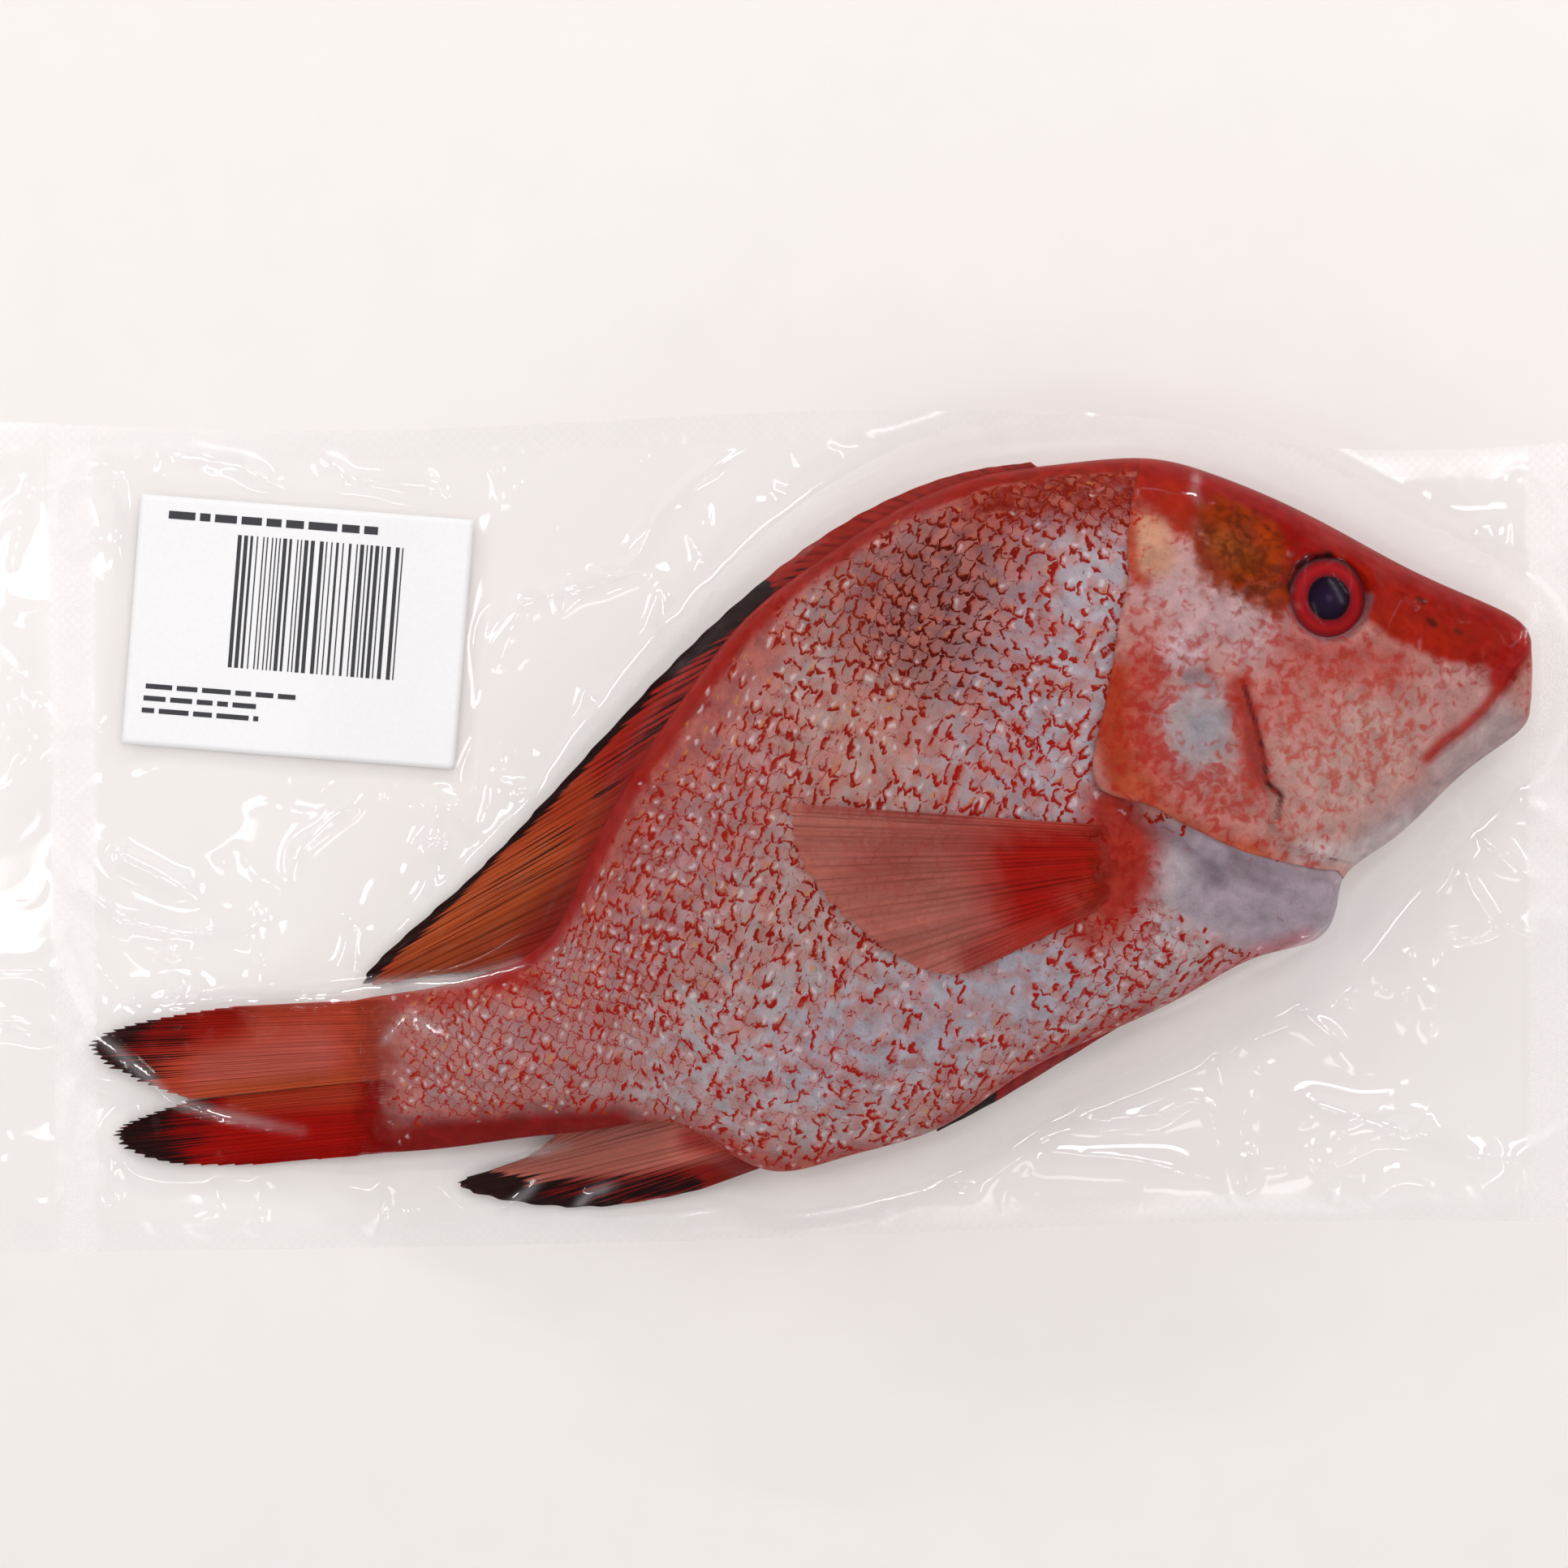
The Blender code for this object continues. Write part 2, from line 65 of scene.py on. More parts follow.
Grid = np.ndarray
Piece = bpy.types.Object
Material = bpy.types.Material
Node = bpy.types.Node
Point = tuple[float, float]
Path = tuple[Point, ...]
Table = tuple[Point, ...]
Box = tuple[float, float, float, float]


class Side(Enum):
    """Which flank of the fish a surface belongs to."""

    OVER = "faces up"
    UNDER = "lies on the table"


def spline(knots: Grid, values: Grid, at: Grid) -> Grid:
    """A natural cubic spline: pieces of third degree that meet with equal slope and bend.

    Args:
        knots: Rising numbers where the values are known.
        values: One value, or one row of values, for each knot.
        at: Numbers at which to read the spline.

    Returns:
        The spline's value, or row of values, at each number.
    """
    knots, values, at = (np.asarray(a, float) for a in (knots, values, at))
    count, gaps = len(knots), np.diff(knots)
    system, right = np.eye(count), np.zeros((count,) + values.shape[1:])
    for i in range(1, count - 1):
        system[i, i - 1 : i + 2] = gaps[i - 1], 2 * (gaps[i - 1] + gaps[i]), gaps[i]
        right[i] = 6 * ((values[i + 1] - values[i]) / gaps[i] - (values[i] - values[i - 1]) / gaps[i - 1])
    bend = np.linalg.solve(system, right)
    i = np.clip(np.searchsorted(knots, at, side="right") - 1, 0, count - 2)
    extra = (1,) * (values.ndim - 1)
    t, gap = (a.reshape(a.shape + extra) for a in (at - knots[i], gaps[i]))
    slope = (values[i + 1] - values[i]) / gap - gap * (2 * bend[i] + bend[i + 1]) / 6
    return values[i] + t * slope + t**2 * bend[i] / 2 + t**3 * (bend[i + 1] - bend[i]) / (6 * gap)


def table_spline(table: Table, at: Grid) -> Grid:
    """A spline through the rows of a table of knot and value, read at some numbers."""
    knots, values = zip(*table)
    return spline(knots, values, at)


def even_spline(points: tuple, at: Grid) -> Grid:
    """A spline through points at even steps, read at numbers from 0 to 1."""
    return spline(np.linspace(0, 1, len(points)), points, at)


def ease(low: float, high: float, value: Grid) -> Grid:
    """A soft step from 0 at low to 1 at high: 3 t squared less 2 t cubed."""
    t = np.clip((value - low) / (high - low), 0, 1)
    return t * t * (3 - 2 * t)


def share_across(angle: Grid) -> Grid:
    """The share of the way from the back to the belly at angles from the back."""
    return (1 - np.cos(angle)) / 2


def neighbours(grid: Grid) -> list[Grid]:
    """The grid moved by one cell each way along both its axes."""
    return [np.roll(grid, step, axis) for step in (1, -1) for axis in (0, 1)]


def rows_of(kind: type, *rows: tuple) -> tuple:
    """Records of one kind, each from a row of its fields."""
    return tuple(kind(*row) for row in rows)


def waves(x: Grid, y: Grid, length: float, seed: int, count: int = 9) -> Grid:
    """Soft unevenness: a sum of plane waves with seeded headings, lengths and starts.

    Args:
        x: Places along X.
        y: Places along Y.
        length: The middle wavelength.
        seed: Chooses the waves.
        count: How many waves are added.

    Returns:
        Values mostly between -1 and 1.
    """
    random = np.random.default_rng(seed)
    total = np.zeros(np.shape(x))
    headings, starts = random.uniform(0, math.tau, count), random.uniform(0, math.tau, count)
    for heading, start, stretch in zip(headings, starts, random.uniform(0.6, 1.6, count)):
        step = math.tau / (length * stretch)
        total += np.sin(step * (x * math.cos(heading) + y * math.sin(heading)) + start)
    return total / math.sqrt(count)


def path_distance(x: Grid, y: Grid, path: Path) -> tuple[Grid, Grid, Grid]:
    """How far places lie from a path of straight runs, or from one point.

    Args:
        x: Places along X.
        y: Places along Y.
        path: The path's points.

    Returns:
        The distance, the side (1 to the left of the path's run, -1 to the right) and the share
        of the path's length at the nearest point.
    """
    if len(path) == 1:
        return np.hypot(x - path[0][0], y - path[0][1]), np.ones(np.shape(x)), np.zeros(np.shape(x))
    nearest, side, share = np.full(np.shape(x), np.inf), np.ones(np.shape(x)), np.zeros(np.shape(x))
    whole, done = sum(math.dist(a, b) for a, b in zip(path, path[1:])), 0.0
    for (ax, ay), (bx, by) in zip(path, path[1:]):
        dx, dy, run = bx - ax, by - ay, math.dist((ax, ay), (bx, by))
        part = np.clip(((x - ax) * dx + (y - ay) * dy) / run**2, 0, 1)
        away = np.hypot(x - ax - part * dx, y - ay - part * dy)
        closer = away < nearest
        side = np.where(closer, np.where(dx * (y - ay) - dy * (x - ax) >= 0, 1.0, -1.0), side)
        share = np.where(closer, (done + part * run) / whole, share)
        nearest = np.minimum(away, nearest)
        done += run
    return nearest, side, share


def linear(code: str) -> Grid:
    """A screen colour such as "#c04030" as linear red, green and blue from 0 to 1."""
    parts = np.array([int(code[i : i + 2], 16) for i in (1, 3, 5)]) / 255
    return np.where(parts <= 0.04045, parts / 12.92, ((parts + 0.055) / 1.055) ** 2.4)


@dataclass(frozen=True)
class Stroke:
    """A soft-edged brush stroke on a surface seen from above.

    Attributes:
        value: A colour code, or the numbers that the stroke lays down.
        path: The stroke's middle line, or one point for a dab.
        width: Half the stroke's width.
        soft: The share of the width over which its edge fades.
        strength: How far it covers what was there.
        ragged: How far its edge wanders.
    """

    value: str | tuple[float, ...]
    path: Path
    width: float
    soft: float = 0.6
    strength: float = 1.0
    ragged: float = 0.0

    def cover(self, x: Grid, y: Grid) -> Grid:
        """How far the stroke covers each place, from 0 to its strength."""
        away, _, _ = path_distance(x, y, self.path)
        if self.ragged:
            away = away + self.ragged * (waves(x, y, 5.0, 11) + 0.6 * waves(x, y, 2.2, 12))
        return self.strength * (1 - ease(self.width * (1 - self.soft), self.width * (1 + self.soft), away))

    def laid_on(self, values: Grid, x: Grid, y: Grid) -> Grid:
        """The values with this stroke laid over them."""
        colour = linear(self.value) if isinstance(self.value, str) else np.array(self.value)
        cover = self.cover(x, y)[..., None]
        return values * (1 - cover) + colour * cover


def painted(
    base: str | tuple[float, ...], strokes: tuple[Stroke, ...], x: Grid, y: Grid
) -> Grid:
    """A base value with strokes laid over it one after another, at places seen from above.

    Args:
        base: A colour code, or the numbers to start from.
        strokes: The strokes, the first of them lowest.
        x: Places along X.
        y: Places along Y.

    Returns:
        The values at each place.
    """
    start = linear(base) if isinstance(base, str) else np.array(base, float)
    values = np.broadcast_to(start, np.shape(x) + start.shape).copy()
    for stroke in strokes:
        values = stroke.laid_on(values, x, y)
    return values


def grid_quads(rows: int, columns: int) -> Grid:
    """The four corners of each cell of a grid of points numbered row by row."""
    corner = np.arange(rows - 1)[:, None] * columns + np.arange(columns - 1)[None, :]
    return np.stack([corner, corner + columns, corner + columns + 1, corner + 1], -1).reshape(-1, 4)


def linked(name: str, data: bpy.types.ID) -> Piece:
    """A new object that holds some data, linked to the scene."""
    piece = bpy.data.objects.new(name, data)
    bpy.context.scene.collection.objects.link(piece)
    return piece


def thickened(piece: Piece, thickness: float) -> Piece:
    """The piece as a thin closed sheet whose thickness lies behind its surface."""
    shell = piece.modifiers.new("thickness", "SOLIDIFY")
    shell.thickness = thickness * MM
    shell.offset = -1.0
    return piece


def grid_piece(
    name: str,
    points: Grid,
    uv: Grid | None = None,
    colours: dict[str, Grid] | None = None,
    weld: bool = False,
    closed: bool = False,
) -> Piece:
    """A smooth mesh object from a grid of points.

    Args:
        name: The piece's name.
        points: Rows by columns by X, Y, Z in millimetres.
        uv: Rows by columns by two surface coordinates.
        colours: Named colour attributes, rows by columns by three.
        weld: Whether points that lie on each other are joined.
        closed: Whether the surface shuts on itself, so that its volume says which way it faces.

    Returns:
        The new object, linked to the scene, at the origin.
    """
    rows, columns = points.shape[:2]
    quads = grid_quads(rows, columns)
    flat = points.reshape(-1, 3)
    a, b, c, d = (flat[quads[:, k]] for k in range(4))
    normal = np.cross(c - a, d - b)
    facing = np.einsum("ij,ij->i", normal, a).sum() if closed else normal[:, 2].sum()
    if facing < 0:
        quads = quads[:, ::-1]
    mesh = bpy.data.meshes.new(name)
    mesh.vertices.add(len(flat))
    mesh.vertices.foreach_set("co", (flat * MM).ravel())
    mesh.loops.add(quads.size)
    mesh.loops.foreach_set("vertex_index", quads.ravel())
    mesh.polygons.add(len(quads))
    mesh.polygons.foreach_set("loop_start", np.arange(len(quads)) * 4)
    mesh.update(calc_edges=True)
    if uv is not None:
        layer = mesh.uv_layers.new(name="surface")
        layer.data.foreach_set("uv", uv.reshape(-1, 2)[quads.ravel()].ravel())
    for label, values in (colours or {}).items():
        attribute = mesh.color_attributes.new(name=label, type="FLOAT_COLOR", domain="POINT")
        four = np.ones((len(flat), 4))
        four[:, : values.shape[-1]] = values.reshape(-1, values.shape[-1])
        attribute.data.foreach_set("color", four.ravel())
    if weld:
        work = bmesh.new()
        work.from_mesh(mesh)
        bmesh.ops.remove_doubles(work, verts=work.verts, dist=1e-6)
        work.to_mesh(mesh)
        work.free()
    mesh.shade_smooth()
    return linked(name, mesh)


class NodeBoard:
    """A node tree with short calls for adding and joining its nodes."""

    MIX_COLOURS = (6, 7)
    MIX_RESULT = 2
    TO_ONE_NUMBER = ("LENGTH", "DISTANCE", "DOT_PRODUCT")

    def __init__(self, tree: bpy.types.NodeTree) -> None:
        """Keeps the tree that the calls work on."""
        self.tree = tree

    def feed(self, socket: bpy.types.NodeSocket, value: object) -> None:
        """Joins a socket to another, or sets its own value."""
        if isinstance(value, bpy.types.NodeSocket):
            self.tree.links.new(value, socket)
        elif value is not None:
            socket.default_value = value

    def add(self, kind: str, settings: dict | None = None, **inputs: object) -> Node:
        """Adds a node, with its settings and its inputs by name (spaces as underscores)."""
        node = self.tree.nodes.new(kind)
        for key, value in (settings or {}).items():
            setattr(node, key, value)
        self.fill(node, **inputs)
        return node

    def fill(self, node: Node, **inputs: object) -> None:
        """Feeds a node's inputs by name (spaces as underscores)."""
        for key, value in inputs.items():
            self.feed(node.inputs[key.replace("_", " ")], value)

    def bump(self, shader: Node, strength: float, height: object) -> None:
        """Gives the shader small relief that a value of one raises by a millimetre."""
        bump = self.add("ShaderNodeBump", Strength=strength, Distance=MM, Height=height)
        self.feed(shader.inputs["Normal"], bump.outputs["Normal"])

    def math(self, operation: str, *values: object, clamp: bool = False) -> object:
        """The result of a Math node."""
        node = self.add("ShaderNodeMath", {"operation": operation, "use_clamp": clamp})
        for socket, value in zip(node.inputs, values):
            self.feed(socket, value)
        return node.outputs[0]

    def times(self, a: object, b: object) -> object:
        """The product of two values."""
        return self.math("MULTIPLY", a, b)

    def plus(self, a: object, b: object, clamp: bool = False) -> object:
        """The sum of two values."""
        return self.math("ADD", a, b, clamp=clamp)

    def less(self, a: object, b: object) -> object:
        """The first value less the second."""
        return self.math("SUBTRACT", a, b)

    def rest(self, value: object) -> object:
        """What a value leaves of one."""
        return self.less(1.0, value)

    def times_plus(self, a: object, b: object, c: object) -> object:
        """The product of two values, plus a third."""
        return self.math("MULTIPLY_ADD", a, b, c)

    def least(self, a: object, b: object) -> object:
        """The lower of two values."""
        return self.math("MINIMUM", a, b)

    def vector(self, operation: str, *values: object) -> object:
        """The result of a Vector Math node."""
        node = self.add("ShaderNodeVectorMath", {"operation": operation})
        for socket, value in zip(node.inputs, values):
            self.feed(socket, value)
        return node.outputs["Value" if operation in self.TO_ONE_NUMBER else "Vector"]

    def step(self, value: object, low: object, high: object) -> object:
        """A soft step of a value from 0 at low to 1 at high."""
        settings = {"interpolation_type": "SMOOTHSTEP"}
        node = self.add("ShaderNodeMapRange", settings, Value=value, From_Min=low, From_Max=high)
        return node.outputs["Result"]

    def blend(self, factor: object, a: object, b: object) -> object:
        """A mix of two colours, each a socket or three or four numbers."""
        node = self.add("ShaderNodeMix", {"data_type": "RGBA"})
        self.feed(node.inputs["Factor"], factor)
        for key, value in zip(self.MIX_COLOURS, (a, b)):
            bare = isinstance(value, tuple) and len(value) == 3
            self.feed(node.inputs[key], (*value, 1.0) if bare else value)
        return node.outputs[self.MIX_RESULT]

    def scaled(self, colour: object, factor: object) -> object:
        """A colour or vector times a value."""
        node = self.add("ShaderNodeVectorMath", {"operation": "SCALE"}, Vector=colour, Scale=factor)
        return node.outputs[0]

    def channels(self, colour: object) -> Node:
        """A Separate Color node, with outputs Red, Green and Blue."""
        return self.add("ShaderNodeSeparateColor", Color=colour)

    def attribute(self, name: str) -> Node:
        """An Attribute node."""
        return self.add("ShaderNodeAttribute", {"attribute_name": name})

    def noise(self, place: object, scale: float, detail: float = 3.0, warp: float = 0.0) -> Node:
        """A Noise Texture node."""
        return self.add("ShaderNodeTexNoise", Vector=place, Scale=scale, Detail=detail, Distortion=warp)


def colour_of(code: str) -> tuple[float, float, float, float]:
    """A screen colour as the four linear numbers that a socket holds."""
    return (*(float(v) for v in linear(code)), 1.0)


def new_material(name: str) -> tuple[Material, NodeBoard, Node]:
    """A material with its node board and its Principled shader."""
    material = bpy.data.materials.new(name)
    material.use_nodes = True
    board = NodeBoard(material.node_tree)
    return material, board, material.node_tree.nodes["Principled BSDF"]


def new_group(
    name: str, inputs: dict[str, str], outputs: dict[str, str]
) -> tuple[bpy.types.NodeTree, NodeBoard]:
    """A shader node group with named sockets.

    Args:
        name: The group's name.
        inputs: Socket types by input name.
        outputs: Socket types by output name.

    Returns:
        The group and its node board.
    """
    group = bpy.data.node_groups.new(name, "ShaderNodeTree")
    for way, sockets in (("INPUT", inputs), ("OUTPUT", outputs)):
        for label, kind in sockets.items():
            group.interface.new_socket(label, in_out=way, socket_type=kind)
    return group, NodeBoard(group)


FLOAT, VECTOR, COLOUR = "NodeSocketFloat", "NodeSocketVector", "NodeSocketColor"


def scale_lattice_group() -> bpy.types.NodeTree:
    """Overlapping scales as round plates on a staggered lattice, each over the one behind it.

    Two sets of unit cells lie half a cell apart. A place belongs to the plate of radius half a
    cell whose centre is further forward. The group gives the place within its plate, a chance
    for each plate, and the plate's height, which climbs backwards to its free edge.

    Returns:
        The node group.
    """
    group, board = new_group(
        "scale_lattice",
        {"Place": VECTOR, "Wander": FLOAT},
        {"Local": VECTOR, "Chance": COLOUR, "Height": FLOAT},
    )
    start, end = board.add("NodeGroupInput"), board.add("NodeGroupOutput")
    drift = board.noise(start.outputs["Place"], 1.7, 2.0)
    centred = board.vector("SUBTRACT", drift.outputs["Color"], (0.5, 0.5, 0.5))
    pushed = board.scaled(centred, start.outputs["Wander"])
    place = board.vector("ADD", start.outputs["Place"], pushed)
    place = board.vector("MULTIPLY", place, (1.0, 1.0, 0.0))
    locals_, cells, insides, forwards = [], [], [], []
    for shift in (0.0, 0.5):
        moved = board.vector("ADD", place, (shift, shift, 0.0))
        cell = board.vector("FLOOR", moved)
        corner = board.vector("SUBTRACT", moved, cell)
        local = board.vector("SUBTRACT", corner, (0.5, 0.5, 0.0))
        reach = board.vector("LENGTH", local)
        locals_.append(local)
        cells.append(board.vector("ADD", cell, (shift * 0.37, shift * 0.73, shift)))
        insides.append(board.math("LESS_THAN", reach, 0.5))
        forwards.append(board.add("ShaderNodeSeparateXYZ", Vector=local).outputs["X"])
    behind = board.times(insides[1], board.math("LESS_THAN", forwards[0], forwards[1]))
    first = board.times(insides[0], board.rest(behind))
    local = board.blend(first, locals_[1], locals_[0])
    cell = board.blend(first, cells[1], cells[0])
    chance = board.add("ShaderNodeTexWhiteNoise", {"noise_dimensions": "3D"}, Vector=cell)
    reach = board.vector("LENGTH", local)
    lip = board.step(reach, 0.5, 0.42)
    forward = board.add("ShaderNodeSeparateXYZ", Vector=local).outputs["X"]
    climb = board.times_plus(forward, 0.8, 0.5)
    board.feed(end.inputs["Local"], local)
    board.feed(end.inputs["Chance"], chance.outputs["Color"])
    board.feed(end.inputs["Height"], board.times(climb, lip))
    return group


@dataclass(frozen=True)
class SkinFinish:
    """Wet scaled skin: a painted ground with red wedges, a red net and pale dots on its scales.

    A wedge darkens from a scale's middle to its free edge, within an angle on either side of a
    heading that each scale draws by chance. The net is the free edge itself.

    Attributes:
        gloss: The skin's specular level, low because the film over it carries the gloss.
        rim: The radius of a scale's free edge, in cells.
        ragged: How far noise tears a mark's outline, in cells.
        dot_size: The radius of a pale dot, in cells.
        dot_place: Where a pale dot lies in its scale.
        spot_place: Where a warm spot lies in its scale.
    """

    roughness: float = 0.38
    gloss: float = 0.03
    wander: float = 0.8
    rim: float = 0.44
    ragged: float = 0.4
    dot_size: float = 0.12
    dot_place: tuple[float, float, float] = (0.10, 0.0, 0.0)
    spot_place: tuple[float, float, float] = (-0.05, 0.22, 0.0)
    cloud_scale: float = 230.0
    blotch_scale: float = 420.0
    grain_scale: float = 1500.0
    tear_scale: float = 3.6
    dot_colour: str = "#dccfd2"
    warm_colour: str = "#a83a14"
    spot_colour: str = "#c07c3c"
    flush_colour: str = "#b0665a"

    def wedges(
        self, board: NodeBoard, torn: object, reach: object, chance: Node, density: object
    ) -> object:
        """How strongly a scale's wedge darkens each place, from 0 to 1.

        Args:
            board: The material's node board.
            torn: The place within its scale, torn by noise.
            reach: That place's distance from the scale's middle.
            chance: The scale's three chances.
            density: The share of scales that have a wedge.

        Returns:
            The wedge's strength.
        """
        heading = board.times_plus(chance.outputs["Green"], 2.8, -1.4)
        ahead, aside = board.math("COSINE", heading), board.math("SINE", heading)
        aim = board.add("ShaderNodeCombineXYZ", X=ahead, Y=aside).outputs[0]
        unit = board.vector("NORMALIZE", torn)
        along = board.vector("DOT_PRODUCT", unit, aim)
        limit = board.times_plus(chance.outputs["Blue"], 0.5, 0.2)
        window = board.step(along, limit, board.plus(limit, 0.2))
        ramp = board.step(reach, 0.12, self.rim - 0.02)
        cut = board.rest(board.step(reach, self.rim, self.rim + 0.06))
        present = board.math("LESS_THAN", chance.outputs["Red"], density)
        return board.times(board.times(window, ramp), board.times(cut, present))

    def edge_lines(
        self, board: NodeBoard, reach: object, clouds: Node, broken: object, drawn: object
    ) -> object:
        """How strongly the red line along a scale's free edge shows, from 0 to 1.

        Args:
            board: The material's node board.
            reach: The distance from the scale's middle.
            clouds: Broad noise, which widens the lines and breaks them.
            broken: Finer noise, which breaks them too.
            drawn: How many of the edges are drawn.

        Returns:
            The line's strength.
        """
        off_rim = board.math("ABSOLUTE", board.less(reach, self.rim))
        thick = board.times_plus(clouds.outputs["Blue"], 0.15, -0.02)
        line = board.rest(board.step(off_rim, board.times(thick, 0.4), thick))
        gate = board.times_plus(broken, 0.6, board.times(clouds.outputs["Green"], 0.4))
        kept = board.step(board.times_plus(drawn, 0.5, gate), 0.67, 0.77)
        return board.times(line, board.times(kept, board.least(board.times(drawn, 3.0), 0.9)))

    def pale_dots(self, board: NodeBoard, local: object, chance: Node, dots: object) -> object:
        """How far a pale dot covers each place, on the share of scales that have one."""
        away = board.vector("DISTANCE", local, self.dot_place)
        dot = board.rest(board.step(away, 0.0, self.dot_size * 1.7))
        return board.times(dot, board.math("LESS_THAN", chance.outputs["Blue"], dots))

    def warm_spots(self, board: NodeBoard, torn: object, chance: Node, dots: object) -> object:
        """How far a warm spot covers each place, on fewer scales than the pale dots."""
        away = board.vector("DISTANCE", torn, self.spot_place)
        spot = board.rest(board.step(away, 0.05, 0.24))
        limit = board.rest(board.times(dots, 0.45))
        return board.times(spot, board.math("GREATER_THAN", chance.outputs["Green"], limit))

    def blotches(self, board: NodeBoard, body: object, clouds: Node, mottle: object) -> object:
        """How far red blotches cover each place: noise over a level that clouds raise and lower."""
        blotch = board.noise(body, self.blotch_scale, 4.0, 0.5).outputs["Fac"]
        edge = board.less(0.96, board.times(mottle, 0.42))
        edge = board.times_plus(clouds.outputs["Blue"], -0.36, edge)
        blot = board.step(blotch, board.less(edge, 0.14), board.plus(edge, 0.14))
        return board.times(blot, board.least(board.times(mottle, 4.0), 0.75))

    def flushed(
        self, board: NodeBoard, ground: object, clouds: Node, fine: object, scaly: object
    ) -> object:
        """The ground with rosy clouds where there are scales, and uneven shade all over.

        Args:
            board: The material's node board.
            ground: The painted ground.
            clouds: Broad noise.
            fine: Fine noise.
            scaly: How scaly each place is.

        Returns:
            The colour.
        """
        rosy = board.times(board.step(scaly, 0.3, 0.9), 0.6)
        flush = board.times(board.step(clouds.outputs["Green"], 0.38, 0.62), rosy)
        shade = board.times_plus(board.less(clouds.outputs["Red"], 0.5), 0.8, 0.93)
        shade = board.times_plus(board.less(fine, 0.5), 0.3, shade)
        return board.scaled(board.blend(flush, ground, colour_of(self.flush_colour)), shade)

    def build(self, lattice: bpy.types.NodeTree) -> Material:
        """The skin's material.

        Args:
            lattice: The group that lays scales on the surface coordinates.

        Returns:
            The material.
        """
        material, board, shader = new_material("scaled_skin")
        uv = board.add("ShaderNodeUVMap", {"uv_map": "surface"}).outputs["UV"]
        place = board.vector("MULTIPLY", uv, (LATTICE_SPAN, LATTICE_SPAN, 0.0))
        scales = board.add("ShaderNodeGroup", {"node_tree": lattice}, Place=place, Wander=self.wander)
        local, height = scales.outputs["Local"], scales.outputs["Height"]
        chance = board.channels(scales.outputs["Chance"])
        painted_pattern = board.attribute("pattern")
        pattern = board.channels(painted_pattern.outputs["Color"])
        density, dots, net = (pattern.outputs[k] for k in ("Red", "Green", "Blue"))
        mottle = painted_pattern.outputs["Alpha"]
        ground, mark = (board.attribute(name).outputs["Color"] for name in ("ground", "mark"))
        body = board.add("ShaderNodeTexCoord").outputs["Object"]
        clouds = board.channels(board.noise(body, self.cloud_scale, 3.0, 0.4).outputs["Color"])
        fine = board.noise(body, self.grain_scale, 3.0).outputs["Fac"]
        scaly = board.least(board.plus(board.plus(density, dots), net), 1.0)

        raw_tear = board.noise(place, self.tear_scale, 3.0).outputs["Color"]
        broken = board.channels(raw_tear).outputs["Blue"]
        tear = board.vector("SUBTRACT", raw_tear, (0.5, 0.5, 0.5))
        tear = board.vector("MULTIPLY", tear, (self.ragged, self.ragged, 0.0))
        torn = board.vector("ADD", local, tear)
        reach = board.vector("LENGTH", torn)
        wedge = self.wedges(board, torn, reach, chance, density)
        line = self.edge_lines(board, reach, clouds, broken, board.times_plus(density, 0.2, net))
        dot = self.pale_dots(board, local, chance, dots)
        spot = self.warm_spots(board, torn, chance, dots)

        colour = self.flushed(board, ground, clouds, fine, scaly)
        colour = board.blend(self.blotches(board, body, clouds, mottle), colour, mark)
        colour = board.blend(board.times(spot, 0.6), colour, colour_of(self.spot_colour))
        colour = board.blend(board.times(dot, 0.5), colour, colour_of(self.dot_colour))
        colour = board.blend(board.times(wedge, 0.9), colour, colour_of(self.warm_colour))
        colour = board.blend(board.times(board.step(wedge, 0.45, 0.95), 0.96), colour, mark)
        colour = board.blend(line, colour, mark)
        matt = board.times_plus(fine, 0.2, self.roughness - 0.1)
        board.fill(shader, Base_Color=colour, Roughness=matt, Specular_IOR_Level=self.gloss)
        plates = board.times(board.times(height, scaly), 0.16)
        board.bump(shader, 0.6, board.plus(plates, board.times(fine, 0.08)))
        return material


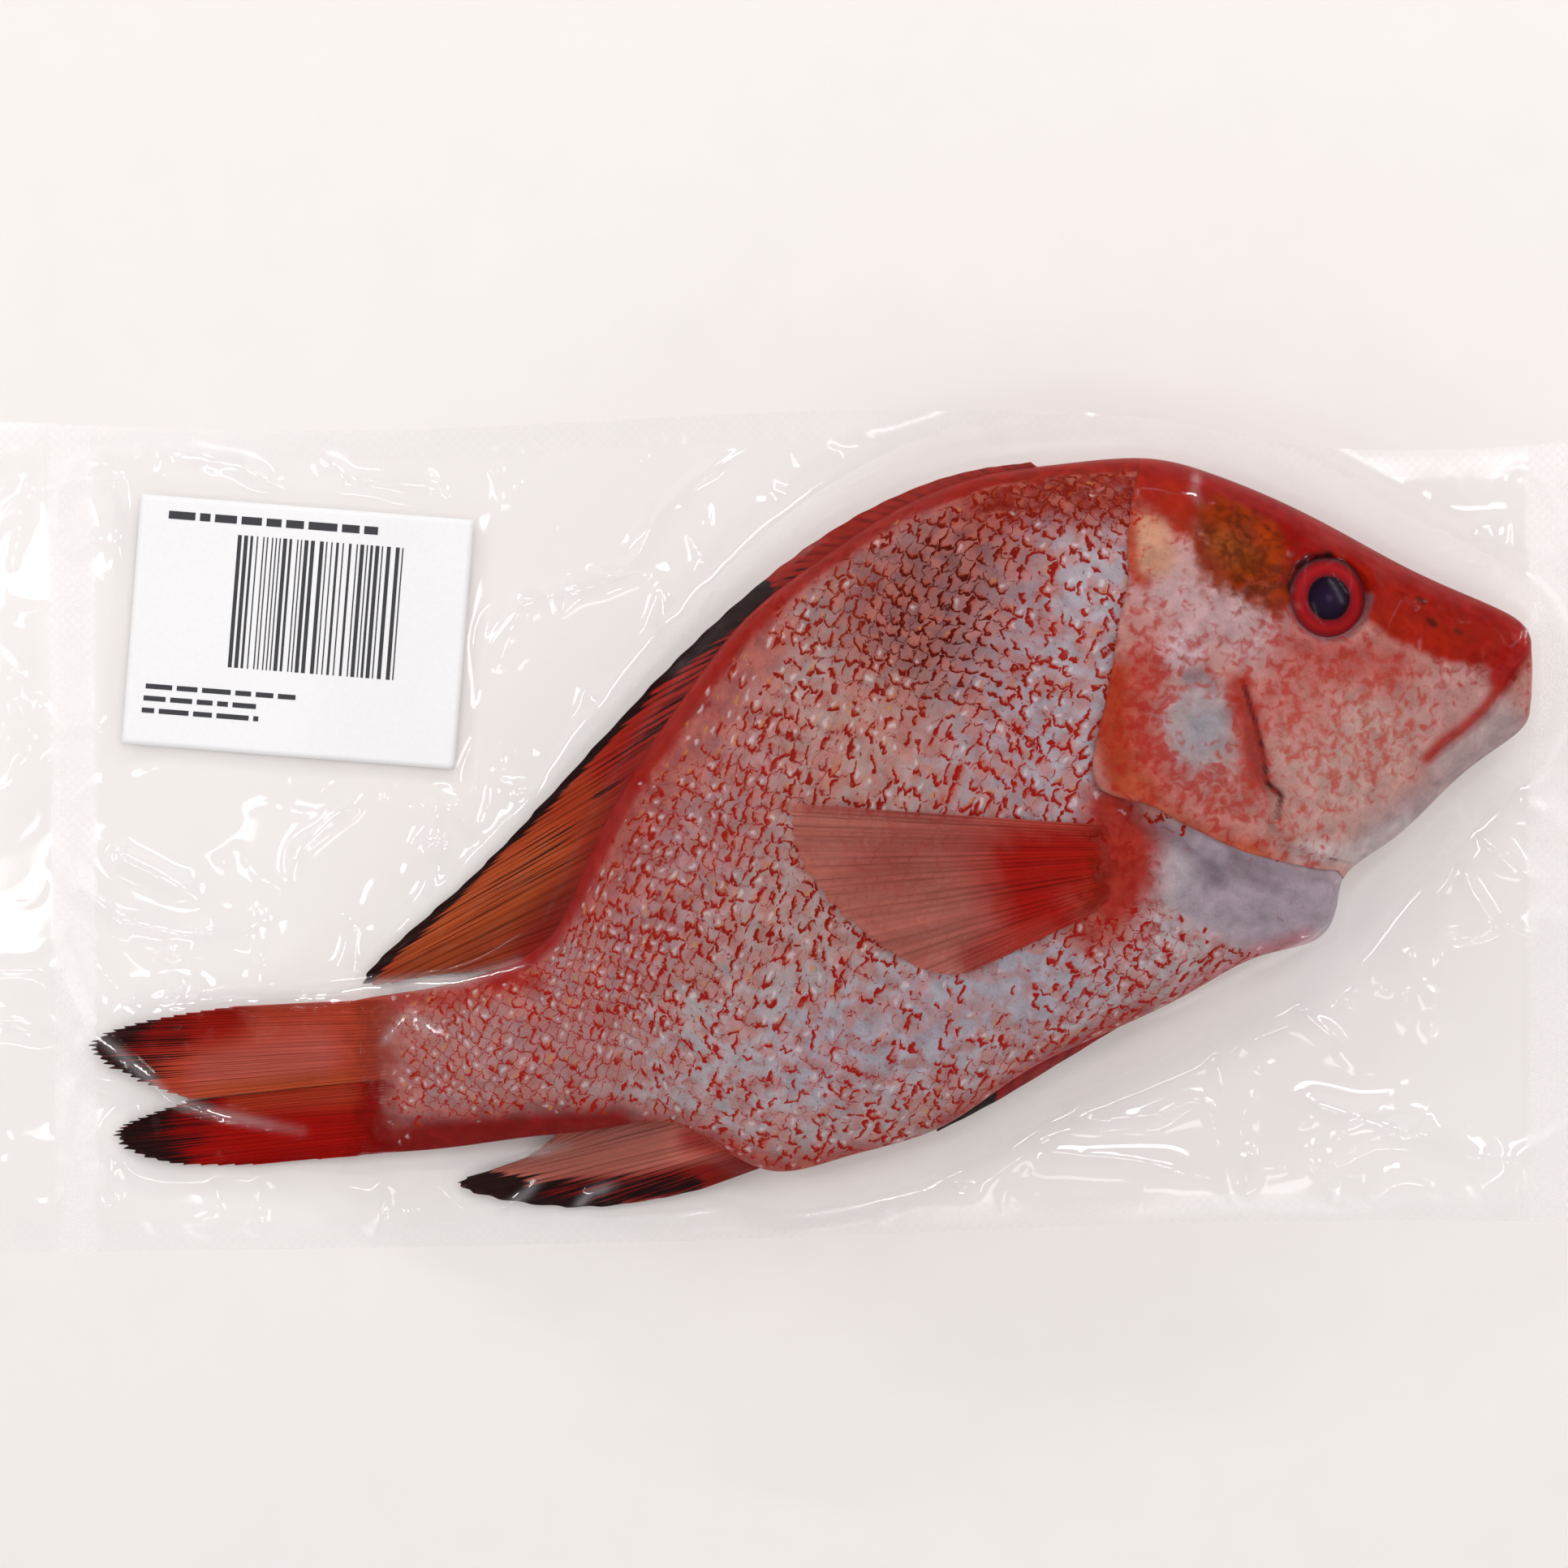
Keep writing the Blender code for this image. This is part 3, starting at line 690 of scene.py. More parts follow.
@dataclass(frozen=True)
class FinFinish:
    """Thin fin skin: fine dark lines along its rays, and inky streaks towards its tips.

    Attributes:
        rays: How many rays cross the fin.
        branches: Dark lines to each ray.
        contrast: How dark the lines are.
        ink: The colour of the streaks.
    """

    name: str
    rays: int
    branches: int = 2
    contrast: float = 0.5
    roughness: float = 0.36
    gloss: float = 0.03
    ink: str = "#150b0c"

    def ray_lines(self, board: NodeBoard, uv: object, streaks: Node) -> object:
        """The dark lines along the rays: a squared cosine across the fin that noise bends and breaks.

        Args:
            board: The material's node board.
            uv: The surface coordinates.
            streaks: Noise drawn out along the rays.

        Returns:
            The lines' strength, from 0 to 1.
        """
        across = board.add("ShaderNodeSeparateXYZ", Vector=uv).outputs["X"]
        broad = board.vector("MULTIPLY", uv, (self.rays * 0.8, 2.5, 1.0))
        drift = board.noise(broad, 1.0, 2.0).outputs["Fac"]
        phase = board.times(across, math.tau * self.rays * self.branches)
        swing = board.math("COSINE", board.times_plus(drift, 5.0, phase))
        line = board.math("POWER", board.times_plus(swing, 0.5, 0.5), 2.0)
        return board.times(line, board.step(streaks.outputs["Red"], 0.36, 0.58))

    def build(self) -> Material:
        """The fin's material, with its rays along the second surface coordinate."""
        material, board, shader = new_material(self.name)
        uv = board.add("ShaderNodeUVMap", {"uv_map": "surface"}).outputs["UV"]
        stretched = board.vector("MULTIPLY", uv, (self.rays * 4.0, 1.6, 1.0))
        streaks = board.channels(board.noise(stretched, 1.0, 3.0).outputs["Color"])
        line = self.ray_lines(board, uv, streaks)
        veil = board.channels(board.attribute("veil").outputs["Color"])
        sheer, inked, faded = (veil.outputs[k] for k in ("Red", "Green", "Blue"))
        shade = board.less(1.05, board.times(line, self.contrast))
        shade = board.times_plus(board.less(streaks.outputs["Green"], 0.5), 0.9, shade)
        colour = board.scaled(board.attribute("ground").outputs["Color"], shade)
        depth = board.plus(board.times(inked, 1.1), streaks.outputs["Blue"])
        depth = board.times_plus(line, 0.22, depth)
        dyed = board.times(board.step(depth, 0.86, 1.12), board.least(board.times(inked, 5.0), 0.97))
        colour = board.blend(dyed, colour, colour_of(self.ink))
        dense = board.math("MAXIMUM", board.times(line, 0.8), dyed)
        clear = board.times(sheer, board.less(1.1, dense))
        solid = board.times(board.rest(clear), board.rest(faded))
        board.fill(shader, Base_Color=colour, Alpha=board.math("MAXIMUM", solid, 0.0))
        board.fill(shader, Roughness=self.roughness, Specular_IOR_Level=self.gloss)
        board.bump(shader, 0.4, board.times(line, -0.15))
        return material


@dataclass(frozen=True)
class EyeFinish:
    """A fish's eye: rings of colour worked out from the distance to the pupil's middle.

    Attributes:
        rings: Share of the eye's radius against a colour, from the middle outwards.
        uneven: How far the rings' edges stray, as a share of the radius.
    """

    rings: tuple[tuple[float, str], ...] = (
        (0, "#3a2c42"), (0.12, "#22142c"), (0.42, "#180a1e"), (0.50, "#12060e"), (0.535, "#601a20"),
        (0.58, "#82101a"), (0.74, "#a01a1c"), (0.86, "#84141a"), (0.93, "#5a282e"), (1, "#2c0a0e"),
    )  # fmt: skip
    uneven: float = 0.07
    roughness: float = 0.15
    gloss: float = 0.04

    def build(self) -> Material:
        """The eyeball's material, on surface coordinates that run from 0 to 1 across it."""
        material, board, shader = new_material("eye_ball")
        uv = board.add("ShaderNodeUVMap", {"uv_map": "surface"}).outputs["UV"]
        place = board.vector("SUBTRACT", uv, (0.5, 0.5, 0.0))
        streak = board.noise(place, 9.0, 4.0, 1.0).outputs["Fac"]
        reach = board.times(board.vector("LENGTH", place), 2.0)
        reach = board.plus(reach, board.times_plus(streak, self.uneven, -self.uneven / 2))
        ramp = board.add("ShaderNodeValToRGB", Fac=reach)
        stops = ramp.color_ramp.elements
        while len(stops) < len(self.rings):
            stops.new(0.5)
        for stop, (share, code) in zip(stops, self.rings):
            stop.position = share
            stop.color = colour_of(code)
        board.fill(shader, Base_Color=ramp.outputs["Color"], Roughness=self.roughness)
        board.fill(shader, Specular_IOR_Level=self.gloss)
        return material


@dataclass(frozen=True)
class FilmFinish:
    """Clear film: a faint mirror over what lies under it, hazy where it is embossed, and whitened along
    creases by haze and a painted highlight.

    The mirror's share grows with the slant as it does for clear plastic: f plus what is left of
    one times the fifth power of one less the cosine. Where the film sticks to wet skin its
    share is lower.

    Attributes:
        mirror: The share of light that a free film throws straight back.
        wet_mirror: The same where it sticks to the fish.
        steepest: The mirror's share at a grazing view of free film.
        wet_loss: How much lower that is where it sticks to the fish.
        seal_haze: How much an embossed seal veils.
        fold_haze_and_highlight: How much a crease veils in white, partly the film's haze and partly a painted
            highlight along the fold.
        knurls: Squares of the seal's embossing to a metre.
        mirror_like: How far the film's sheen is a mirror's rather than a white haze.
    """

    mirror: float = 0.06
    wet_mirror: float = 0.002
    steepest: float = 0.8
    wet_loss: float = 0.6
    seal_haze: float = 0.14
    fold_haze_and_highlight: float = 0.24
    roughness: float = 0.07
    knurls: float = 800.0
    mirror_like: float = 0.65
    tint: str = "#fdfafb"

    def build(self) -> Material:
        """The film's material, with its embossing where the film attribute says so."""
        material, board, shader = new_material("vacuum_film")
        marks = board.channels(board.attribute("film").outputs["Color"])
        seal, fold, wet = (marks.outputs[k] for k in ("Red", "Green", "Blue"))
        body = board.add("ShaderNodeTexCoord").outputs["Object"]
        knurl = board.add("ShaderNodeTexChecker", Vector=body, Scale=self.knurls).outputs["Fac"]
        facing = board.add("ShaderNodeLayerWeight", Blend=0.5).outputs["Facing"]
        straight = board.times_plus(wet, self.wet_mirror - self.mirror, self.mirror)
        grazing = board.less(self.steepest, board.times(wet, self.wet_loss))
        slant = board.times(board.math("POWER", facing, 5.0), grazing)
        share = board.times_plus(board.rest(straight), slant, straight)
        embossed = board.times_plus(knurl, self.seal_haze / 2, self.seal_haze / 2)
        # The seal's haze is the embossing's own; the white veil on creases is partly a painted highlight
        # standing for the light that folds catch.
        haze_and_highlight = board.times_plus(fold, self.fold_haze_and_highlight, board.times(seal, embossed))
        matt = board.times_plus(seal, 0.35, self.roughness)
        board.fill(shader, Alpha=board.plus(share, haze_and_highlight, clamp=True), Roughness=matt)
        board.fill(shader, Base_Color=colour_of(self.tint), Metallic=self.mirror_like)
        return material


@dataclass(frozen=True)
class PlainFinish:
    """A paper, ink or table finish: one colour with a faint grain.

    Attributes:
        grain: How much the colour varies.
        grain_scale: Grains to a metre.
    """

    name: str
    colour: str
    roughness: float
    grain: float = 0.06
    grain_scale: float = 900.0

    def build(self) -> Material:
        """The material, with its grain on Object coordinates."""
        material, board, shader = new_material(self.name)
        body = board.add("ShaderNodeTexCoord").outputs["Object"]
        grain = board.noise(body, self.grain_scale, 3.0).outputs["Fac"]
        dark, light = (tuple(linear(self.colour) * (1 + way * self.grain)) for way in (-1, 1))
        matt = board.times_plus(grain, 0.1, self.roughness - 0.05)
        board.fill(shader, Base_Color=board.blend(grain, dark, light), Roughness=matt)
        return material


@dataclass(frozen=True)
class BodyForm:
    """The fish's body, from stations at its snout to stations at the root of its tail.

    A place on the skin has a station number and an angle. The angle runs from 0 at the back to
    half a turn at the belly, and its cosine gives the share of the way across. The flank over
    rises from the body's mid-plane as an ellipse, and the flank under sinks to the table.

    Attributes:
        flattened: How far the flank under is pressed into the table.
        back_lean: How much fuller the flank over is towards the back.
        length_share: Where the line whose length counts the scales runs from back to belly.
        under_shift: How far the scales under are moved across, in scales.
        stray: How far rows of scales wander, in scales.
    """

    back: Path = (
        (176, 46.5), (172, 51), (160, 56.5), (145.5, 63), (129.5, 71.5), (114, 79), (98.5, 85),
        (83.5, 88), (64, 86.5), (45, 83.5), (25.5, 75.5), (6.5, 63), (-10, 49.5), (-24, 31.5),
        (-35.5, 14.5), (-46.5, -6.5), (-55, -24), (-68.5, -32.5), (-83.5, -37), (-99, -39.5),
        (-113, -43),
    )  # fmt: skip
    belly: Path = (
        (176, 31), (173.5, 24), (160, 14), (145, 0), (132.5, -9), (129.5, -18), (124, -25.5),
        (110, -29.5), (93.5, -38.5), (72, -48.5), (54.5, -57.5), (36.5, -69.5), (16, -76), (-2, -80),
        (-16.5, -73.5), (-29, -68.5), (-43.5, -70.5), (-60.5, -72.5), (-78, -75), (-98, -76.5),
        (-113, -75),
    )  # fmt: skip
    mid_height: Table = (
        (0, 17), (2, 18), (4, 21), (6, 22.5), (9, 22), (12, 18), (15, 12), (18, 6.3), (20, 3.2),
    )  # fmt: skip
    half_thickness: Table = (
        (0, 3.5), (1, 8), (2, 12.2), (4, 19.3), (6, 23.5), (8, 25), (10, 23.5), (13, 18), (16, 11),
        (18, 6.4), (19, 3.9), (20, 0.9),
    )  # fmt: skip
    scale_pitch: Table = ((0, 4), (6, 4.6), (10, 5), (14, 4.5), (17, 3.8), (20, 3.2))
    flattened: float = 1.5
    back_lean: float = 0.08
    rest_height: float = 0.4
    length_steps: int = 400
    length_share: float = 0.45
    arc_steps: int = 12
    under_shift: float = 0.31
    stray: float = 0.25
    stray_length: float = 9.0

    @property
    def last(self) -> int:
        """The number of the last station."""
        return len(self.back) - 1

    def profile(self, station: Grid) -> tuple[Grid, Grid]:
        """The back's and the belly's points at stations."""
        number = np.arange(len(self.back))
        return spline(number, self.back, station), spline(number, self.belly, station)

    def plan(self, station: Grid, share: Grid) -> tuple[Grid, Grid]:
        """X and Y of places: on the chord from the back's spline to the belly's."""
        back, belly = self.profile(station)
        place = back * (1 - share)[..., None] + belly * share[..., None]
        return place[..., 0], place[..., 1]

    def skin(self, station: Grid, angle: Grid, side: Side) -> Grid:
        """Places on the skin, without any relief.

        Args:
            station: Station numbers.
            angle: Angles from the back, 0 to half a turn.
            side: The flank.

        Returns:
            X, Y and Z of each place.
        """
        x, y = self.plan(station, share_across(angle))
        middle, half = table_spline(self.mid_height, station), table_spline(self.half_thickness, station)
        arch = np.sin(angle)
        if side is Side.OVER:
            z = middle + half * arch * (1 + self.back_lean * np.cos(angle))
        else:
            drop = np.minimum(half * 1.1, middle + self.flattened)
            z = np.maximum(middle - drop * arch, self.rest_height)
        return np.stack([x, y, z], -1)

    def lattice(self, station: Grid, angle: Grid, side: Side) -> Grid:
        """Surface coordinates that count scales along the body and across it.

        The first is the length of the mid-line over the scale's pitch, summed from the snout.
        The second is the length of the flank's ellipse from its middle over the same pitch.

        Args:
            station: Station numbers.
            angle: Angles from the back.
            side: The flank.

        Returns:
            Two coordinates for each place, both shifted to stay between 0 and 1.
        """
        steps = np.linspace(0, self.last, self.length_steps)
        middle = np.stack(self.plan(steps, np.full(steps.shape, self.length_share)), -1)
        runs = np.hypot(*np.diff(middle, axis=0).T) / table_spline(self.scale_pitch, steps[1:])
        along = np.interp(station, steps, np.concatenate([[0], np.cumsum(runs)]))
        chord = np.subtract(*self.profile(station))
        depth, half = np.hypot(chord[..., 0], chord[..., 1]), table_spline(self.half_thickness, station)
        arc = np.zeros(np.shape(angle))
        turn = angle - math.pi / 2
        for share in (np.arange(self.arc_steps) + 0.5) / self.arc_steps:
            theta = math.pi / 2 + turn * share
            arc += np.hypot(depth / 2 * np.sin(theta), half * np.cos(theta)) * turn / self.arc_steps
        across = arc / table_spline(self.scale_pitch, station)
        if side is Side.UNDER:
            across = across + self.under_shift
        stray = self.stray * waves(along, across, self.stray_length, 21)
        return np.stack([(along + stray) / LATTICE_SPAN, 0.5 + (across + stray) / LATTICE_SPAN], -1)


@dataclass(frozen=True)
class Relief:
    """Creases, folds and bumps that stand on the seen flank.

    Each crease is a rounded groove: its depth times the bell curve of the distance to its path.
    The cheek is a step that fades backwards from its edge, and the eye sits in a socket.

    Attributes:
        cheek_sharpness: Over what length the cheek's step rises.
        cheek_reach: How far the step fades backwards.
        head_grooves: Grooves of lips, jaw and cheek rim, each a path, a depth and a width.
        head_bumps: Bumps and dents, each a centre, a height and a radius.
        trunk_grooves: Folds at the shoulder, the throat and the flank.
    """

    cheek_edge: Path = (
        (103.5, 36.5), (107, 27), (109.5, 18), (111.5, 11.5), (115, 9), (113.5, 5),
        (113.2, 1.5), (115, -1.5), (119, -4.2), (125.5, -5.5),
    )  # fmt: skip
    cheek_step: float = 1.7
    cheek_sharpness: float = 0.55
    cheek_reach: float = 20.0
    cheek_gutter: float = 0.7
    head_grooves: tuple[tuple[Path, float, float], ...] = (
        (((176.5, 43.5), (169.5, 35), (165, 28), (158, 22.5), (151.5, 18), (148.5, 15)), 1.6, 1.1),
        (((177, 31.5), (170.5, 24), (165, 18.5), (159, 14), (154.5, 11.5), (151, 11.5), (148.5, 15)), 1.1, 1),
        (((146, 24), (140, 14), (131, 3), (124, -3)), 0.5, 2.4),
        (((80.5, 41), (76.9, 34), (77.6, 22), (80.2, 13.5), (89.5, 4), (101, -2.2), (110, -4.5)), 0.55, 0.9),
    )  # fmt: skip
    head_bumps: tuple[tuple[Point, float, float], ...] = (
        ((88, 44.5), 1.7, 6), ((92.5, 36), -1.9, 4.2), ((97, 22), 0.9, 9),
        ((85, 25), -0.9, 5), ((146.5, 51.8), -0.8, 1.1), ((149.8, 49.6), -0.6, 0.9),
    )  # fmt: skip
    trunk_grooves: tuple[tuple[Path, float, float], ...] = (
        (((79, 8), (84, 2.5), (90, -4), (97, -11.5), (104, -14.5)), 2.4, 2.6),
        (((86, 3), (93, -3.5), (99, -9.5)), 1.3, 1.3),
        (((91, 1.5), (99, -4.5), (106, -11), (113, -13.5)), 1.3, 1.3),
        (((101, -3), (108, -6.5), (119, -10), (128, -12)), 1.3, 1.3),
        (((-40, -14), (-20, -4), (2, 8)), 0.9, 2.6),
        (((-46, -30), (-24, -18), (0, -8)), 0.9, 2.6),
        (((-48, -46), (-22, -36), (4, -27)), 0.9, 2.6),
    )
    eye_centre: Point = (126.0, 54.5)
    eye_radius: float = 9.2
    brow_height: float = 1.3
    socket_depth: float = 4.2

    @staticmethod
    def groove(x: Grid, y: Grid, path: Path, depth: float, width: float) -> Grid:
        """A rounded groove along a path, which thins out at its two ends."""
        away, _, share = path_distance(x, y, path)
        ends = ease(0, 0.12, share) * ease(0, 0.12, 1 - share) * 0.7 + 0.3
        return -depth * ends * np.exp(-((away / width) ** 2))

    @staticmethod
    def bump(x: Grid, y: Grid, centre: Point, height: float, radius: float) -> Grid:
        """A rounded bump: its height times the bell curve of the distance to its centre."""
        return height * np.exp(-((x - centre[0]) ** 2 + (y - centre[1]) ** 2) / radius**2)

    def head(self, x: Grid, y: Grid) -> Grid:
        """The height of the head's relief at places seen from above."""
        away, side, share = path_distance(x, y, self.cheek_edge)
        level = 0.5 * (1 + np.tanh(side * away / self.cheek_sharpness))
        fade = np.exp(-((away / self.cheek_reach) ** 2)) * (0.35 + 0.65 * ease(0, 0.35, share))
        gutter = np.exp(-(((side * away + 1.2) / 1.3) ** 2)) * ease(0.1, 0.4, share)
        relief = self.cheek_step * level * fade - self.cheek_gutter * gutter
        reach = np.hypot(x - self.eye_centre[0], y - self.eye_centre[1])
        relief += self.brow_height * np.exp(-(((reach - self.eye_radius - 2.6) / 2.2) ** 2))
        relief -= self.socket_depth * (1 - ease(self.eye_radius - 1.2, self.eye_radius + 1.4, reach))
        for groove in self.head_grooves:
            relief += self.groove(x, y, *groove)
        for bump in self.head_bumps:
            relief += self.bump(x, y, *bump)
        return relief + 0.22 * waves(x, y, 9.0, 31) + 0.10 * waves(x, y, 3.5, 32)

    def trunk(self, x: Grid, y: Grid) -> Grid:
        """The height of the trunk's relief at places seen from above."""
        relief = sum(self.groove(x, y, *groove) for groove in self.trunk_grooves)
        return relief + 0.30 * waves(x, y, 16.0, 33) + 0.08 * waves(x, y, 5.0, 34)


@dataclass(frozen=True)
class SkinPaint:
    """Where the skin's colours and its scale marks lie, as strokes on a ground.

    Each pattern value is the share of scales with a wedge, the share with a dot, the strength
    of the net, and how much of the skin is mottled.
    """

    ground: str = "#a8908f"
    mark: str = "#821008"
    pattern: tuple[float, float, float, float] = (0.85, 0.22, 0.2, 0.0)

    grounds: tuple[Stroke, ...] = rows_of(
        Stroke,
        ("#a08f9a", ((62, 60), (48, 44), (58, 22)), 22, 0.8, 0.8),
        ("#804c4a", ((40, 64), (24, 57), (30, 46)), 16, 0.8, 0.9),
        ("#aca2ac", ((72, 66), (72, 44), (66, 20), (70, 8)), 8, 0.8, 0.8),
        ("#b0857a", ((20, 24), (0, 16)), 14, 0.8, 0.6),
        ("#a27276", ((-12, 14), (-30, -14), (-44, -34)), 14, 0.8, 0.7),
        ("#983830", ((-4, 46), (-20, 27), (-34, 6), (-46, -14)), 7.5, 0.8, 0.75),
        ("#841a0a", ((78, 79), (62, 81), (46, 79)), 9, 0.7, 0.95),
        ("#aaa2a8", ((70, -30), (40, -42), (10, -52), (-16, -54)), 17, 0.7, 0.85),
        ("#a29ca8", ((60, -32), (34, -43), (10, -50)), 12, 0.8, 0.75),
        ("#b4a4a8", ((96, -22), (80, -26)), 9, 0.8, 0.8),
        ("#a47474", ((-50, -46), (-84, -56)), 14, 0.7, 0.8),
        ("#9a2414", ((-60, -34), (-80, -38), (-104, -42)), 4.4, 0.8, 0.9),
        ("#94160a", ((86, 88), (64, 87), (45, 84), (25, 76), (6, 63), (-10, 49), (-24, 31), (-35, 14)),
            4.5, 0.5, 0.95),
        ("#90140c", ((-35, 16), (-46, -6), (-56, -25), (-68, -33)), 4.2, 0.6, 0.92),
        ("#7c0602", ((-40, -70.5), (-62, -72), (-84, -74), (-112, -76)), 7.5, 0.6, 0.97),
        ("#a63c2a", ((-105, -44), (-108, -58)), 9, 0.8, 0.95),
        ("#940e08", ((-102, -69), (-114, -70)), 6, 0.7, 0.95),
        ("#a8605a", ((-93, -50), (-95, -62)), 7, 0.9, 0.8),
        ("#982018", ((20, -77), (0, -81), (-16, -74), (-30, -70)), 4.5, 0.7, 0.85),
        ("#8c1c1e", ((84, -42), (60, -55), (38, -69)), 3.2, 0.8, 0.8),
        ("#a2929e", ((98, -9), (112, -16), (126, -20)), 11.5, 0.45, 0.97),
        ("#80707c", ((86, 2), (94, -5), (101, -10)), 2.2, 0.8, 0.8),
        ("#86747f", ((104, -7), (114, -12)), 2, 0.9, 0.7),
        ("#bcaeb2", ((90, -8), (84, -18)), 4.5, 0.8, 0.7),
        ("#a0200a", ((75, 5), (79, -3), (78, -12), (72, -20)), 7.5, 0.6, 0.95, 0.5),
        ("#b4606a", ((122, -25), (110, -29), (94, -38)), 2.6, 0.9, 0.7),
    )
    patterns: tuple[Stroke, ...] = rows_of(
        Stroke,
        ((1, 0.08, 0.4, 0.15), ((36, 60), (18, 52), (30, 44)), 14, 0.6, 0.95),
        ((1, 0.05, 0.6, 0.6), ((76, 79), (52, 78)), 8, 0.6, 0.95),
        ((0.75, 0.35, 0.15, 0), ((70, 62), (68, 40), (64, 22)), 9, 0.8, 0.8),
        ((0.5, 0.6, 0.2, 0.1), ((30, 18), (14, 24), (0, 20)), 12, 0.8, 0.85),
        ((0.95, 0.2, 0.3, 0.1), ((62, 14), (44, 14)), 10, 0.8, 0.9),
        ((0.85, 0.4, 0.35, 0.35), ((-6, 16), (-26, -10), (-42, -32)), 16, 0.7, 0.9),
        ((0.35, 0.35, 0.75, 0.1), ((-52, -48), (-90, -58)), 17, 0.6, 0.95),
        ((0.7, 0.15, 0.4, 0.25), ((84, -26), (60, -38), (30, -50)), 14, 0.7, 0.9),
        ((0.3, 0.1, 0.2, 0.12), ((58, -33), (34, -43), (12, -49)), 9, 0.8, 0.85),
        ((0.35, 0.1, 0.35, 0.3), ((16, -54), (-8, -60), (-26, -56)), 12, 0.7, 0.9),
        ((0.5, 0.35, 0.35, 0.15), ((-16, -34), (10, -36)), 9, 0.8, 0.8),
        ((0.15, 0.5, 0.1, 0.25), ((-8, 42), (-26, 18)), 6, 0.8, 0.8),
        ((0, 0, 0, 0.6), ((86, 88), (64, 87), (45, 84), (25, 76), (6, 63), (-10, 49), (-24, 31)), 4, 0.5, 1),
        ((0, 0, 0.1, 0.5), ((-24, 31), (-35, 16), (-46, -6), (-56, -25), (-68, -33)), 4, 0.6, 1),
        ((0, 0, 0.3, 0.2), ((-40, -70.5), (-84, -74), (-112, -76)), 7.5, 0.6, 0.95),
        ((0, 0.1, 0, 0.15), ((-104, -42), (-107, -74)), 15, 0.8, 1),
        ((0.25, 0.1, 0.5, 0.5), ((84, -6), (86, -20)), 8, 0.7, 0.8),
        ((0, 0, 0, 0.5), ((75, 5), (79, -3), (77, -14)), 6, 0.6, 0.95),
        ((0, 0, 0, 0.12), ((98, -9), (112, -16), (126, -20)), 12, 0.4, 1),
    )
    marks: tuple[Stroke, ...] = rows_of(
        Stroke,
        ("#440602", ((38, 60), (24, 54), (36, 46)), 14, 0.7, 0.95),
        ("#7c1a08", ((16, 58), (8, 44)), 8, 0.8, 0.8),
        ("#6e1404", ((76, 78), (52, 78)), 8, 0.8, 0.9),
        ("#941a0e", ((68, 50), (70, 20)), 10, 0.8, 0.8),
        ("#981210", ((58, 14), (40, 12)), 10, 0.8, 0.9),
        ("#981614", ((80, -26), (40, -46), (0, -60), (-30, -56)), 22, 0.7, 0.9),
        ("#921812", ((-14, 10), (-40, -30)), 16, 0.8, 0.9),
        ("#9c1614", ((-56, -48), (-94, -58)), 20, 0.8, 0.9),
    )

    head_ground: str = "#b67e76"
    head_mark: str = "#a02014"
    head_pattern: tuple[float, float, float, float] = (0.0, 0.0, 0.0, 0.5)

